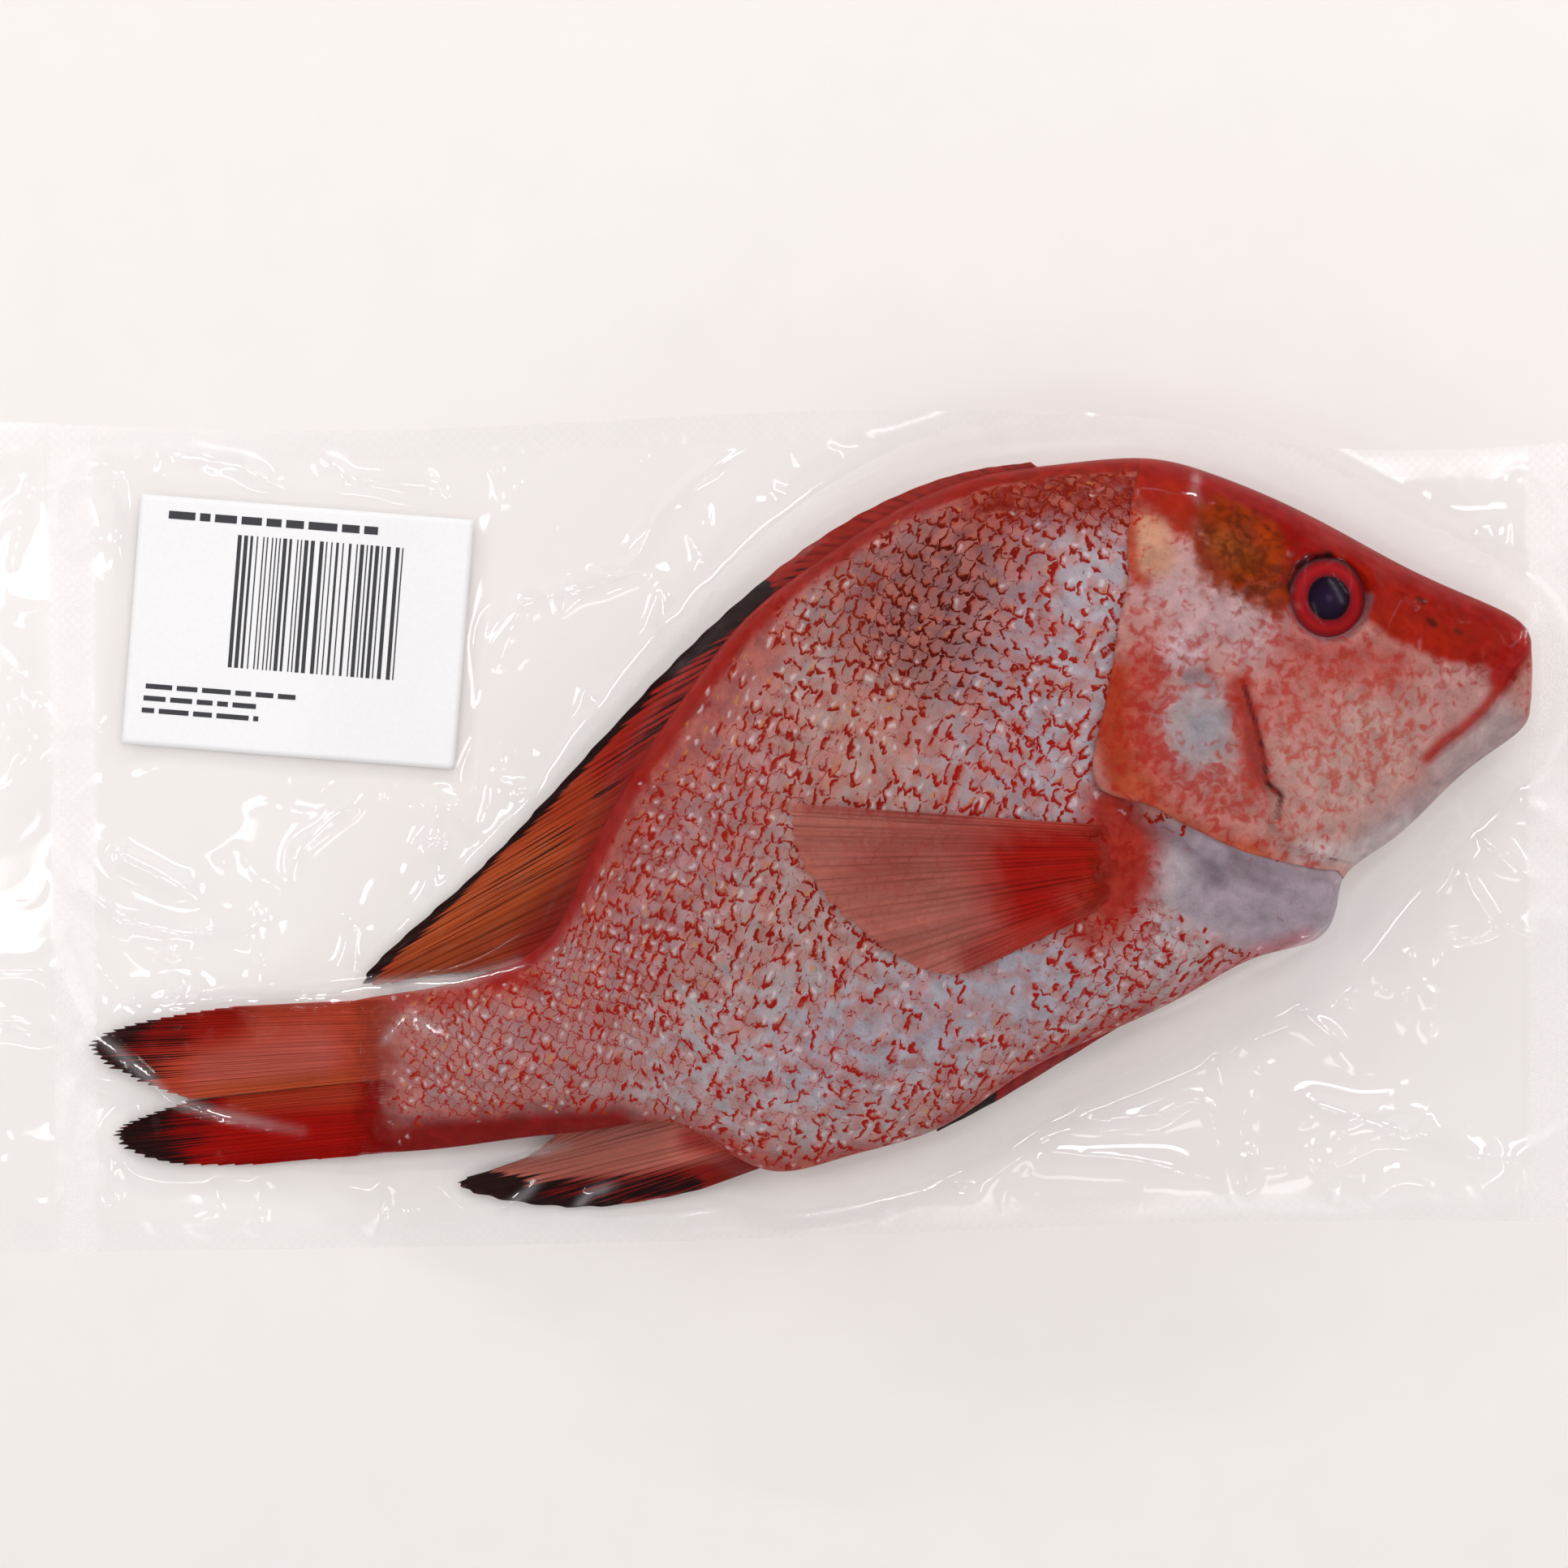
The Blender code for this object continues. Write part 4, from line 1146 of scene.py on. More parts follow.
    head_grounds: tuple[Stroke, ...] = rows_of(
        Stroke,
        ("#bc9890", ((124, 20), (136, 22), (128, 8)), 12, 0.8, 0.8),
        ("#a69192", ((168, 24), (156, 8), (138, -4)), 7, 0.6, 0.9),
        ("#b48682", ((160, 34), (150, 30)), 7, 0.8, 0.7),
        ("#bc9c9e", ((88, 58), (98, 52), (108, 46)), 8, 0.8, 0.8),
        ("#aa443c", ((118, 42), (130, 40), (140, 38)), 6, 0.9, 0.7),
        ("#b45c54", ((112, 30), (120, 28)), 7, 0.9, 0.6),
        ("#c4a8ae", ((91.2, 42),), 5, 0.6, 0.9),
        ("#7c6068", ((93.5, 35.6), (97, 34.5)), 2.4, 0.7, 0.85),
        ("#a29294", ((95, 27), (94, 20)), 8.5, 0.5, 0.95, 0.6),
        ("#8e8e98", ((96.5, 24),), 4, 0.9, 0.7),
        ("#b0463a", ((82, 38), (80, 24), (86, 14)), 4.5, 0.8, 0.8),
        ("#a43618", ((75, 36), (75, 22), (78, 12)), 4.2, 0.6, 0.95),
        ("#b45034", ((80, 11.5), (91, 2), (103, -3.5), (110, -5)), 3.4, 0.7, 0.9),
        ("#b86c64", ((92, 10), (102, 4)), 5, 0.8, 0.7),
        ("#a02a1e", ((104, 34), (107, 22), (108.5, 12)), 2.8, 0.8, 0.85),
        ("#520c0a", ((105.2, 35.3), (108.1, 25.7), (110.3, 16.9), (111, 11.7), (114.4, 8.8),
            (113.6, 3.7)), 0.6, 0.7, 0.95),
        ("#b48a82", ((118, 0), (126, 2)), 6, 0.8, 0.6),
        ("#bcaeae", ((120, -4), (134, -5), (146, 2)), 2.5, 0.8, 0.7),
        ("#c08a70", ((83.5, 70), (84.5, 64)), 5.5, 0.5, 0.95),
        ("#a82c0c", ((79.8, 72), (80, 60), (83, 57.5)), 1.6, 0.8, 0.8),
        ("#900e02", ((78, 83), (92, 78), (101, 77)), 6.5, 0.5, 0.97),
        ("#9c2408", ((90, 78), (92, 72)), 3.4, 0.6, 0.9, 0.6),
        ("#94301c", ((77, 84), (79, 77)), 3.4, 0.8, 0.9),
        ("#8a0400", ((110, 77), (117, 67), (117.5, 56)), 5.4, 0.6, 0.97),
        ("#8a0400", ((117, 69), (128, 65.5), (137, 59)), 5.2, 0.6, 0.97),
        ("#862c02", ((102, 71), (108, 65), (102, 63)), 7.5, 0.35, 0.95, 1.2),
        ("#8c2c02", ((107, 59), (112.5, 54.5)), 4, 0.5, 0.9, 0.8),
        ("#9c3404", ((112, 70), (113.5, 62)), 2.4, 0.8, 0.8),
        ("#9c5818", ((101, 67), (106, 63)), 3, 0.9, 0.4),
        ("#941202", ((131, 60), (137, 56.5), (145, 51), (154, 47.5), (164, 45.5)), 7.2, 0.18, 0.98, 0.25),
        ("#9e1e04", ((140, 50), (156, 44)), 3, 0.9, 0.6),
        ("#901816", ((86, 86.5), (94.9, 84), (114, 77), (132.4, 67), (147, 59.5), (165.4, 51.8),
            (175, 48)), 2.9, 0.35, 0.95),
        ("#960a06", ((167.5, 36.5), (172.5, 43), (175.5, 46)), 3.4, 0.5, 0.95),
        ("#b09896", ((166, 29), (158, 21.5), (152.5, 16)), 2.6, 0.7, 0.85),
        ("#a01e16", ((168, 35), (163.2, 28.6), (158.1, 24.2), (153.7, 21.3), (150, 17.6)), 1.5, 0.8, 0.9),
        # Painted shadow: a near-black crescent along the eye's upper rim on the tail side, where the socket
        # shades the eye.
        ("#1c0808", ((116.8, 57), (118.4, 61), (121.8, 63.4), (126.5, 64.2)), 1.4, 0.5, 0.95),
        ("#7c5a60", ((116.6, 52), (119.2, 47.4), (124, 45), (129.7, 45.6), (134.2, 49.8), (135.8, 55)),
            0.9, 0.7, 0.8),
        ("#4a130c", ((148, 54.6), (149.2, 53.9)), 0.7, 0.8, 0.9),
        ("#4a130c", ((150.4, 49.4), (151.4, 48.7)), 0.8, 0.8, 0.9),
        ("#5a1a0c", ((156.6, 47.3), (157.8, 46.7)), 0.6, 0.8, 0.8),
    )
    head_patterns: tuple[Stroke, ...] = rows_of(
        Stroke,
        ((0, 0, 0, 0.6), ((140, 26), (128, 22), (120, 34)), 13, 0.8, 0.9),
        ((0, 0, 0, 0.1), ((168, 24), (152, 6), (136, -4)), 8, 0.7, 1),
        ((0, 0, 0, 0.1), ((166, 30), (152, 17)), 4, 0.7, 1),
        ((0, 0, 0, 0.3), ((84, 70), (90, 58), (104, 50)), 6, 0.8, 0.9),
        ((0, 0, 0, 0.75), ((84, 40), (84, 24), (92, 12), (103, 8)), 6, 0.8, 0.9),
        ((0, 0, 0, 0.2), ((95, 24),), 6, 0.8, 0.9),
        ((0, 0, 0, 0.7), ((103, 70), (108, 60)), 8, 0.6, 0.9),
        ((0.9, 0, 0.5, 0.6), ((77, 86), (79, 77)), 5, 0.7, 0.95),
        ((0, 0, 0, 0.45), ((86, 83), (100, 78)), 6, 0.7, 0.9),
        ((0, 0, 0, 0.2), ((95, 84), (132, 67), (174, 48)), 3, 0.6, 0.9),
        ((0, 0, 0, 0.35), ((131, 60), (145, 51), (164, 45.5)), 7.2, 0.3, 0.95),
    )
    head_marks: tuple[Stroke, ...] = rows_of(
        Stroke,
        ("#b04034", ((136, 24), (122, 14)), 16, 0.8, 0.8),
        ("#7c0a02", ((112, 74), (122, 66), (128, 64), (148, 51), (166, 43)), 9, 0.6, 0.95),
        ("#4a1a02", ((104, 70), (108, 60)), 10, 0.5, 0.95),
        ("#a22018", ((84, 40), (86, 20)), 10, 0.9, 0.8),
    )

    def colours(self, x: Grid, y: Grid, part: str = "") -> dict[str, Grid]:
        """The ground, mark and pattern at places seen from above, on the trunk or the head."""
        names = ("ground", "mark", "pattern")
        fields = [(name, getattr(self, part + name), getattr(self, part + name + "s")) for name in names]
        return {name: painted(base, strokes, x, y) for name, base, strokes in fields}


@dataclass
class Body:
    """The fish's head and trunk, with the gill cover's edge standing over the trunk.

    Attributes:
        gill_edge: The station of the gill cover's edge by the share of the way across.
        gill_lip: How far that edge stands out.
        head_swell: How much wider the head is than the trunk inside it.
        tuck_stations: How far the trunk reaches into the head.
        tuck: How much the trunk narrows there.
        snout_round: How far the rows that close the snout bend back.
    """

    form: BodyForm
    relief: Relief
    paint: SkinPaint
    gill_edge: Table = (
        (0, 7), (0.08, 7.28), (0.175, 7.5), (0.25, 7.6), (0.305, 7.8), (0.39, 8.02), (0.458, 8.22),
        (0.522, 8.43), (0.565, 8.5), (0.598, 8.4), (0.635, 7.98), (0.70, 7.6), (0.768, 7.1), (0.805, 6.68),
        (0.832, 6), (0.9, 4.95), (1, 4.15),
    )  # fmt: skip
    gill_lip: float = 1.4
    gill_lip_reach: float = 0.22
    head_swell: float = 1.006
    tuck_stations: float = 0.9
    tuck: float = 0.09
    snout_rows: int = 6
    snout_round: float = 1.1
    head_rows: int = 190
    head_columns: int = 170
    trunk_rows: int = 320
    trunk_over: int = 190
    trunk_under: int = 64

    def gill_station(self, angle: Grid) -> Grid:
        """The station of the gill cover's edge at angles from the back, softened at its corners."""
        share = share_across(angle)
        shares, stations = (np.array(values) for values in zip(*self.gill_edge))
        offsets = (-0.02, -0.01, 0.0, 0.01, 0.02)
        return sum(np.interp(np.clip(share + d, 0, 1), shares, stations) for d in offsets) / len(offsets)

    def head_skin(self, angle: Grid, side: Side) -> tuple[Grid, Grid]:
        """The head's places and surface coordinates, row by row from the snout.

        Args:
            angle: The columns' angles from the back.
            side: The flank.

        Returns:
            Places in rows and columns, and their lattice coordinates.
        """
        along = np.linspace(0, 1, self.head_rows + 1)[:, None] ** 1.15
        station = along * self.gill_station(angle)[None, :]
        angles = np.broadcast_to(angle, station.shape)
        points = self.form.skin(station, angles, side)
        centre = sum(self.form.profile(station)) / 2
        off_back = ease(0.03, 0.2, share_across(angles))
        swell = 1 + (self.head_swell - 1) * (along * off_back)[..., None]
        points[..., :2] = centre + (points[..., :2] - centre) * swell
        lip = self.gill_lip * np.clip((along - 1 + self.gill_lip_reach) / self.gill_lip_reach, 0, 1) ** 0.7
        lip = lip * np.sin(angles) * ease(0.10, 0.36, share_across(angles))
        if side is Side.OVER:
            fade = ease(0, 0.35, np.sin(angles))
            points[..., 2] += lip + self.relief.head(points[..., 0], points[..., 1]) * fade
        else:
            points[..., 2] = np.maximum(points[..., 2] - 0.2 * lip, self.form.rest_height)
        return points, self.form.lattice(station, angles, side)

    def trunk_skin(self, angle: Grid, side: Side) -> tuple[Grid, Grid]:
        """The trunk's places and surface coordinates, from inside the head to the tail.

        Args:
            angle: The columns' angles from the back.
            side: The flank.

        Returns:
            Places in rows and columns, and their lattice coordinates.
        """
        along = np.linspace(0, 1, self.trunk_rows + 1)[:, None]
        edge = self.gill_station(angle)[None, :]
        front = edge - self.tuck_stations
        station = front + (self.form.last - front) * along
        angles = np.broadcast_to(angle, station.shape)
        points = self.form.skin(station, angles, side)
        uv = self.form.lattice(station, angles, side)
        if side is Side.OVER:
            fade = ease(0, 0.35, np.sin(angles))
            rows = uv * LATTICE_SPAN * math.pi
            scales = 0.10 * np.cos(rows[..., 0] + rows[..., 1]) * np.cos(rows[..., 0] - rows[..., 1])
            points[..., 2] += (self.relief.trunk(points[..., 0], points[..., 1]) + scales) * fade
        under_lip = 0.15 * ease(0.03, 0.2, share_across(angles))
        hidden = np.clip((edge - station) / self.tuck_stations + under_lip, 0, None)[..., None]
        middle = np.full(station.shape, math.pi / 2)
        centre = sum(self.form.skin(station, middle, flank) for flank in Side) / 2
        return points + (centre - points) * hidden * self.tuck, uv

    @staticmethod
    def ring(over: Grid, under: Grid) -> Grid:
        """Columns of both flanks as one ring: over from back to belly, then under and back."""
        return np.concatenate([over, under[:, -2::-1]], axis=1)

    def head(self) -> Piece:
        """The head, closed at the snout by rows that round off to the lips' meeting line."""
        angle = np.linspace(0, math.pi, self.head_columns + 1)
        over, over_uv = self.head_skin(angle, Side.OVER)
        under, under_uv = self.head_skin(angle, Side.UNDER)
        points, uv = self.ring(over, under), self.ring(over_uv, under_uv)
        lips = (over[:1] + under[:1]) / 2
        middle = self.ring(lips, lips)
        turns = np.linspace(0, math.pi / 2, self.snout_rows + 1)[:-1, None]
        nose = middle + (points[:1] - middle) * np.sin(turns)[..., None]
        nose[..., 0] -= self.snout_round * (1 - np.cos(turns))
        heart = points[-1:].mean(axis=1, keepdims=True)
        wall = points[-1:] * 0.3 + heart * 0.7
        points = np.concatenate([nose, points, wall, np.broadcast_to(heart, wall.shape)])
        uv = np.concatenate([np.repeat(uv[:1], len(turns), 0), uv, uv[-1:], uv[-1:]])
        colours = self.paint.colours(points[..., 0], points[..., 1], "head_")
        return grid_piece("fish_head", points, uv, colours, weld=True, closed=True)

    def trunk(self) -> Piece:
        """The trunk, closed at both hidden ends."""
        over_angle = np.linspace(0, math.pi, self.trunk_over + 1)
        under_angle = np.linspace(0, math.pi, self.trunk_under + 1)
        over, over_uv = self.trunk_skin(over_angle, Side.OVER)
        under, under_uv = self.trunk_skin(under_angle, Side.UNDER)
        points, uv = self.ring(over, under), self.ring(over_uv, under_uv)
        ends = [np.broadcast_to(points[k].mean(axis=0), points[:1].shape) for k in (0, -1)]
        points = np.concatenate([ends[0], points, ends[1]])
        uv = np.concatenate([uv[:1], uv, uv[-1:]])
        colours = self.paint.colours(points[..., 0], points[..., 1])
        return grid_piece("fish_trunk", points, uv, colours, weld=True, closed=True)


@dataclass
class Fin:
    """A fin of fine rays between a root line in the body and a free edge.

    The sheet runs straight from root to edge. Its height falls from the root's to the edge's by
    a power of the way along, each ray stands out as a cosine ridge, and the ray tips reach past
    the membrane between them by a small seeded amount.

    Attributes:
        root: Points along the root.
        edge: Points along the free edge.
        root_z: Heights along the root.
        edge_z: Heights along the edge.
        rays: How many rays cross the fin.
        veil: Strokes of how far it can be seen through, how inky it is and how far it is faded.
        fray: How far ray tips reach past the membrane, as a share of their length.
        ridge: How far a ray stands out.
        steps_to_ray: Grid steps across a ray.
    """

    name: str
    root: Path
    edge: Path
    root_z: tuple[float, ...]
    edge_z: tuple[float, ...]
    rays: int
    base: str
    strokes: tuple[Stroke, ...] = ()
    veil: tuple[Stroke, ...] = ()
    fray: float = 0.03
    ridge: float = 0.1
    thickness: float = 0.4
    steps_to_ray: int = 8
    rows: int = 60

    def plan(self) -> tuple[Grid, Grid, Grid]:
        """The sheet's plan points, and its coordinates across the rays and along them."""
        across = np.linspace(0, 1, self.rays * self.steps_to_ray + 1)
        along = np.linspace(0, 1, self.rows + 1)
        start, end = even_spline(self.root, across), even_spline(self.edge, across)
        tips = np.random.default_rng(len(self.name)).uniform(0.2, 1.0, self.rays + 2)
        reach = np.interp(across * self.rays, np.arange(self.rays + 2), tips)
        tip = self.fray * reach * (0.5 + 0.5 * np.cos(math.tau * self.rays * across))
        end = end + (end - start) * (tip - self.fray * 0.4)[:, None]
        return start[:, None] + (end - start)[:, None] * along[None, :, None], across, along

    def heights(self, plan: Grid, across: Grid, along: Grid) -> Grid:
        """The sheet's height over the table at its plan points."""
        start, end = even_spline(self.root_z, across)[:, None], even_spline(self.edge_z, across)[:, None]
        return start + (end - start) * along[None, :] ** 0.8

    def build(self) -> Piece:
        """The fin as a thin closed sheet with painted attributes."""
        plan, across, along = self.plan()
        x, y = plan[..., 0], plan[..., 1]
        ridges = self.ridge * np.cos(math.tau * self.rays * across)[:, None] * ease(0, 0.2, along)[None, :]
        sag = 0.35 * waves(x, y, 14.0, 41) * ease(0.2, 0.8, along)[None, :]
        points = np.dstack([x, y, self.heights(plan, across, along) + ridges + sag])
        uv = np.stack(np.broadcast_arrays(across[:, None], along[None, :]), -1)
        veil = painted((0.0, 0.0, 0.0), self.veil, x, y)
        colours = {"ground": painted(self.base, self.strokes, x, y), "veil": veil}
        piece = thickened(grid_piece(self.name, points, uv, colours), self.thickness)
        piece.data.materials.append(FinFinish(self.name + "_skin", self.rays).build())
        return piece


@dataclass
class FlankFin(Fin):
    """A fin that lies flat on the flank, at a small height over the skin.

    Attributes:
        skin_map: The height of the skin under it.
        lift: How far it stands off the skin away from its root.
    """

    skin_map: "HeightMap | None" = None
    lift: float = 1.1

    def skin_under(self, plan: Grid) -> Grid:
        """The skin's height under plan points, each cell as high as its tallest neighbour."""
        return self.skin_map.like(self.skin_map.widened()).read(plan[..., 0], plan[..., 1])

    def heights(self, plan: Grid, across: Grid, along: Grid) -> Grid:
        """The skin's height under the fin with a lift that starts at the root."""
        return self.skin_under(plan) + self.lift * np.clip(along / 0.25, 0, 1)[None, :] - 0.1


@dataclass
class TailLobe(FlankFin):
    """A lobe of the tail, whose root lies on the skin wherever the skin is higher."""

    def heights(self, plan: Grid, across: Grid, along: Grid) -> Grid:
        """The straight sheet's height, or a little over the skin where that is more."""
        return np.maximum(Fin.heights(self, plan, across, along), self.skin_under(plan) + 0.2)


class HeightMap:
    """The height of the tallest thing over each cell of the table."""

    def __init__(self, x_range: Point, y_range: Point, cell: float) -> None:
        """Starts an empty map over ranges of X and Y, with square cells."""
        self.cell = cell
        self.x = np.arange(x_range[0], x_range[1] + cell / 2, cell)
        self.y = np.arange(y_range[0], y_range[1] + cell / 2, cell)
        self.z = np.full((len(self.x), len(self.y)), -1.0)

    def like(self, z: Grid) -> "HeightMap":
        """A map over the same cells with other values."""
        other = HeightMap((self.x[0], self.x[-1]), (self.y[0], self.y[-1]), self.cell)
        other.z = z
        return other

    def add(self, piece: Piece) -> None:
        """Raises the map to a piece's evaluated vertices."""
        mesh = piece.evaluated_get(bpy.context.evaluated_depsgraph_get()).to_mesh()
        points = np.empty(len(mesh.vertices) * 3)
        mesh.vertices.foreach_get("co", points)
        points = points.reshape(-1, 3) / MM
        column = np.clip(np.rint((points[:, 0] - self.x[0]) / self.cell).astype(int), 0, len(self.x) - 1)
        row = np.clip(np.rint((points[:, 1] - self.y[0]) / self.cell).astype(int), 0, len(self.y) - 1)
        np.maximum.at(self.z, (column, row), points[:, 2])

    def widened(self, times: int = 1) -> Grid:
        """The map with each cell raised to its tallest neighbour, a number of times."""
        z = self.z.copy()
        for _ in range(times):
            wide = np.pad(z, 1, mode="edge")
            z = np.max([wide[1 + i : wide.shape[0] - 1 + i, 1 + j : wide.shape[1] - 1 + j]
                        for i in (-1, 0, 1) for j in (-1, 0, 1)], axis=0)  # fmt: skip
        return z

    def read(self, x: Grid, y: Grid) -> Grid:
        """The map's height at places, by even mixing of the four nearest cells."""
        z = np.where(self.z < 0, self.widened(), self.z)
        u = np.clip((x - self.x[0]) / self.cell, 0, len(self.x) - 1.001)
        v = np.clip((y - self.y[0]) / self.cell, 0, len(self.y) - 1.001)
        i, j = u.astype(int), v.astype(int)
        s, t = u - i, v - j
        return (z[i, j] * (1 - s) * (1 - t) + z[i + 1, j] * s * (1 - t)
                + z[i, j + 1] * (1 - s) * t + z[i + 1, j + 1] * s * t)  # fmt: skip


@dataclass
class Eye:
    """An eyeball set square to the head's skin: a shallow dome with rings of colour.

    The dome's height over its rim is its rise times one less the square of the share of the
    radius, so it is a flat bowl turned over.

    Attributes:
        tilt: How steeply the rim climbs along X and Y.
        height: The height of the rim's middle.
        rings: Rings of points from the middle to the rim.
        spokes: Points round a ring.
    """

    centre: Point
    radius: float
    rise: float
    tilt: tuple[float, float]
    height: float
    side: Side
    rings: int = 24
    spokes: int = 72

    def build(self) -> Piece:
        """The eyeball's dome."""
        share = np.linspace(0, 1, self.rings + 1)[:, None]
        turn = np.linspace(0, math.tau, self.spokes + 1)[None, :]
        u, v = share * np.cos(turn), share * np.sin(turn)
        up = 1.0 if self.side is Side.OVER else -1.0
        x, y = self.centre[0] + self.radius * u, self.centre[1] + self.radius * v
        slope = self.radius * (u * self.tilt[0] + v * self.tilt[1])
        points = np.dstack([x, y, self.height + up * self.rise * (1 - share**2) + slope])
        if self.side is Side.UNDER:
            points = points[:, ::-1]
        uv = np.stack([0.5 + u / 2, 0.5 + v / 2], -1)
        piece = grid_piece("eye_" + self.side.name.lower(), points, uv, weld=True)
        if self.side is Side.UNDER:
            piece.data.flip_normals()
        piece.data.materials.append(EyeFinish().build())
        return piece


@dataclass(frozen=True)
class Crease:
    """A crease that stands on the film: a tent whose sides fall a little hollow.

    Attributes:
        path: The crest's line.
        height: The crest's height.
        width: Half its width.
        hollow: The power of the way in from its foot that its sides climb by.
    """

    path: Path
    height: float
    width: float
    hollow: float = 1.6

    def rise(self, x: Grid, y: Grid) -> Grid:
        """The crease's height at places, lower towards its two ends."""
        away, _, share = path_distance(x, y, self.path)
        ends = 0.25 + 0.75 * ease(0, 0.15, share) * ease(0, 0.3, 1 - share)
        return self.height * ends * np.clip(1 - away / self.width, 0, 1) ** self.hollow


@dataclass
class VacuumBag:
    """The bag's two clear films: one drawn down over the fish, one flat under it.

    The film over the fish is the lowest sheet that stays over what it covers. Where it is free
    it bends upwards by a steady amount, as film does that air presses down, so each cell is
    lowered to its neighbours' mean less that bend until nothing moves. Creases stand on the free
    film: the main ones where the photo has them, and small seeded ones that lead away from the
    fish.

    Attributes:
        depth: The bag's depth, which sets the rows of the film's grid.
        clearance: How far the film stays off the fish.
        flange_height: The film's height beside the fish.
        slack: How high free film bulges.
        ripple: How high free film ripples.
        cell: The cell that the film is worked out on.
        bend: How strongly free film is bent upwards.
        seal_bands: The middle lines and half widths of the embossed end seals.
        under_points: Grid points along the film under the fish and across it.
        tight: Creases drawn tight, also where the film lies on the fish.
    """

    length: float
    depth: float = 200.0
    back_edge: Table = (
        (-200, 99), (-90, 96.5), (6, 100.8), (45, 100.8), (91, 98), (114, 94), (200, 94.5),
    )  # fmt: skip
    belly_edge: Table = ((-200, -101), (-90, -99.5), (6, -97), (102, -93.5), (200, -93.5))
    clearance: float = 0.3
    flange_height: float = 0.55
    under_height: float = 0.08
    slack: float = 1.2
    ripple: float = 1.4
    cell: float = 0.92
    bend: float = 0.13
    relax_steps: int = 700
    under_points: tuple[int, int] = (101, 51)
    crease_count: int = 100
    seal_bands: tuple[tuple[Path, float], ...] = (
        (((-171.5, 110), (-169, -110)), 5.2),
        (((184, 110), (184, -110)), 6),
    )
    creases: tuple[Crease, ...] = rows_of(
        Crease,
        (((27.4, 93), (21.5, 87), (13.2, 83.4), (3.8, 78.7), (-0.5, 74), (-2, 67)), 2.4, 5),
        (((-5.7, 93), (-11.6, 90.5), (-22.2, 83.4), (-29.3, 76.3), (-35, 64.5), (-43.5, 59.8),
            (-62.5, 55), (-69.5, 45.6), (-73, 31)), 2.2, 5.5),
        (((-24.6, 45.6), (-25.8, 41), (-37.6, 33.8), (-48.3, 22), (-50.6, 14.8)), 2, 4),
        (((-15, 64.5), (-22, 50)), 1.6, 3.5),
        (((-172, -5), (-167.7, -13.6), (-159.4, -20.6), (-143, -24), (-128.7, -24), (-118, -19.5)), 2.6, 6),
        (((-162, -4), (-150, -10), (-138, -17)), 3.2, 8),
        (((-83.7, 8), (-81.4, -4), (-85, -18), (-88.5, -25)), 1.8, 3.6),
        (((-100, 8), (-108, 3), (-116, -4), (-119, -14)), 1.8, 4),
        (((-175, -30), (-169, -44), (-163, -50)), 2.2, 5),
        (((-163, -50), (-154.7, -57.3), (-145, -65.6), (-128.7, -70.3), (-117, -74)), 1.4, 2.6),
        (((-161.8, 86), (-157, 72), (-160, 64)), 2.6, 6.5),
        (((-148, 92), (-130, 88), (-118, 80)), 2.4, 6),
        (((-112, 92), (-104, 84), (-78, 81)), 1.8, 5),
        (((82, 97.6), (90, 95.3), (96, 91.7)), 2, 3),
        (((119.7, 89.4), (131.5, 81), (139.8, 71.6), (144.5, 64.5)), 2, 4.4),
        (((145.7, 63.3), (157.6, 69.3), (171.7, 75.2)), 2.2, 3.6),
        (((155, 58.6), (158, 64), (171.7, 68)), 2, 3.2),
        (((167, 54), (170.5, 70)), 1.8, 3),
        (((155, 7.7), (169.4, -4), (178.8, -11.2)), 2.4, 4.5),
        (((167, 16), (185.5, 1)), 3, 6.5),
        (((158, 2), (164, -14), (172, -26)), 1.8, 4.5),
        (((117.4, -30), (119.7, -39.6), (131.5, -49), (136.3, -56)), 1.9, 4),
        (((104.3, -34.8), (103.2, -44.3), (98.4, -53.8)), 1.8, 4),
        (((119.7, -63), (145.7, -70.3), (164.7, -77.4), (178.8, -79.8)), 2.2, 6),
        (((47.6, -63.2), (60.6, -68), (74.8, -69.1), (98, -66)), 2.2, 5),
        (((58, -76), (82, -78), (104, -82)), 2.2, 6.5),
        (((20.3, -80), (18, -87)), 1.6, 3),
        (((32.2, -77.4), (35.7, -84.5), (46, -86)), 1.8, 3.4),
        (((111.4, -75), (110.2, -87)), 1.8, 4),
    )  # fmt: skip
    tight: tuple[Crease, ...] = rows_of(
        Crease,
        (((-166, -47.5), (-160, -52), (-151.5, -59), (-147, -64), (-135, -67.5), (-115, -71.5)), 0.9, 2.2),
        (((-154, -42.5), (-132, -39.4), (-111, -39), (-100, -37), (-76, -35), (-63, -31)), 1.3, 2.6),
        (((-96, -51), (-91, -45), (-88.5, -42.5), (-85.5, -45.5), (-80, -49)), 0.6, 2),
        (((-78, -81.5), (-70, -78.5), (-62, -76.5), (-51, -74.5)), 1, 2.2),
        (((-68, -91), (-62, -86.5), (-58, -83)), 0.8, 2),
        (((-50, -90), (-46, -86), (-40, -84)), 0.8, 2),
        (((96, 84), (95, 79), (96.5, 76)), 0.5, 1.9),
        (((174, 47), (178, 51), (180, 56)), 1.2, 2.4),
        (((45, 89.5), (62, 91.5), (84, 92)), 0.9, 2.2),
        (((128, -20), (118, -28), (100, -37), (84, -44)), 0.9, 2.2),
    )  # fmt: skip

    def outline(self, x: Grid) -> tuple[Grid, Grid]:
        """The bag's two long edges at places along it."""
        return table_spline(self.belly_edge, x), table_spline(self.back_edge, x)

    def from_sides(self, x: Grid, y: Grid) -> Grid:
        """How far places lie inside the bag's long edges."""
        low, high = self.outline(x)
        return np.minimum(y - low, high - y)

    def from_rim(self, x: Grid, y: Grid) -> Grid:
        """How far places lie inside all the bag's edges."""
        return np.minimum(self.from_sides(x, y), self.length / 2 - np.abs(x))

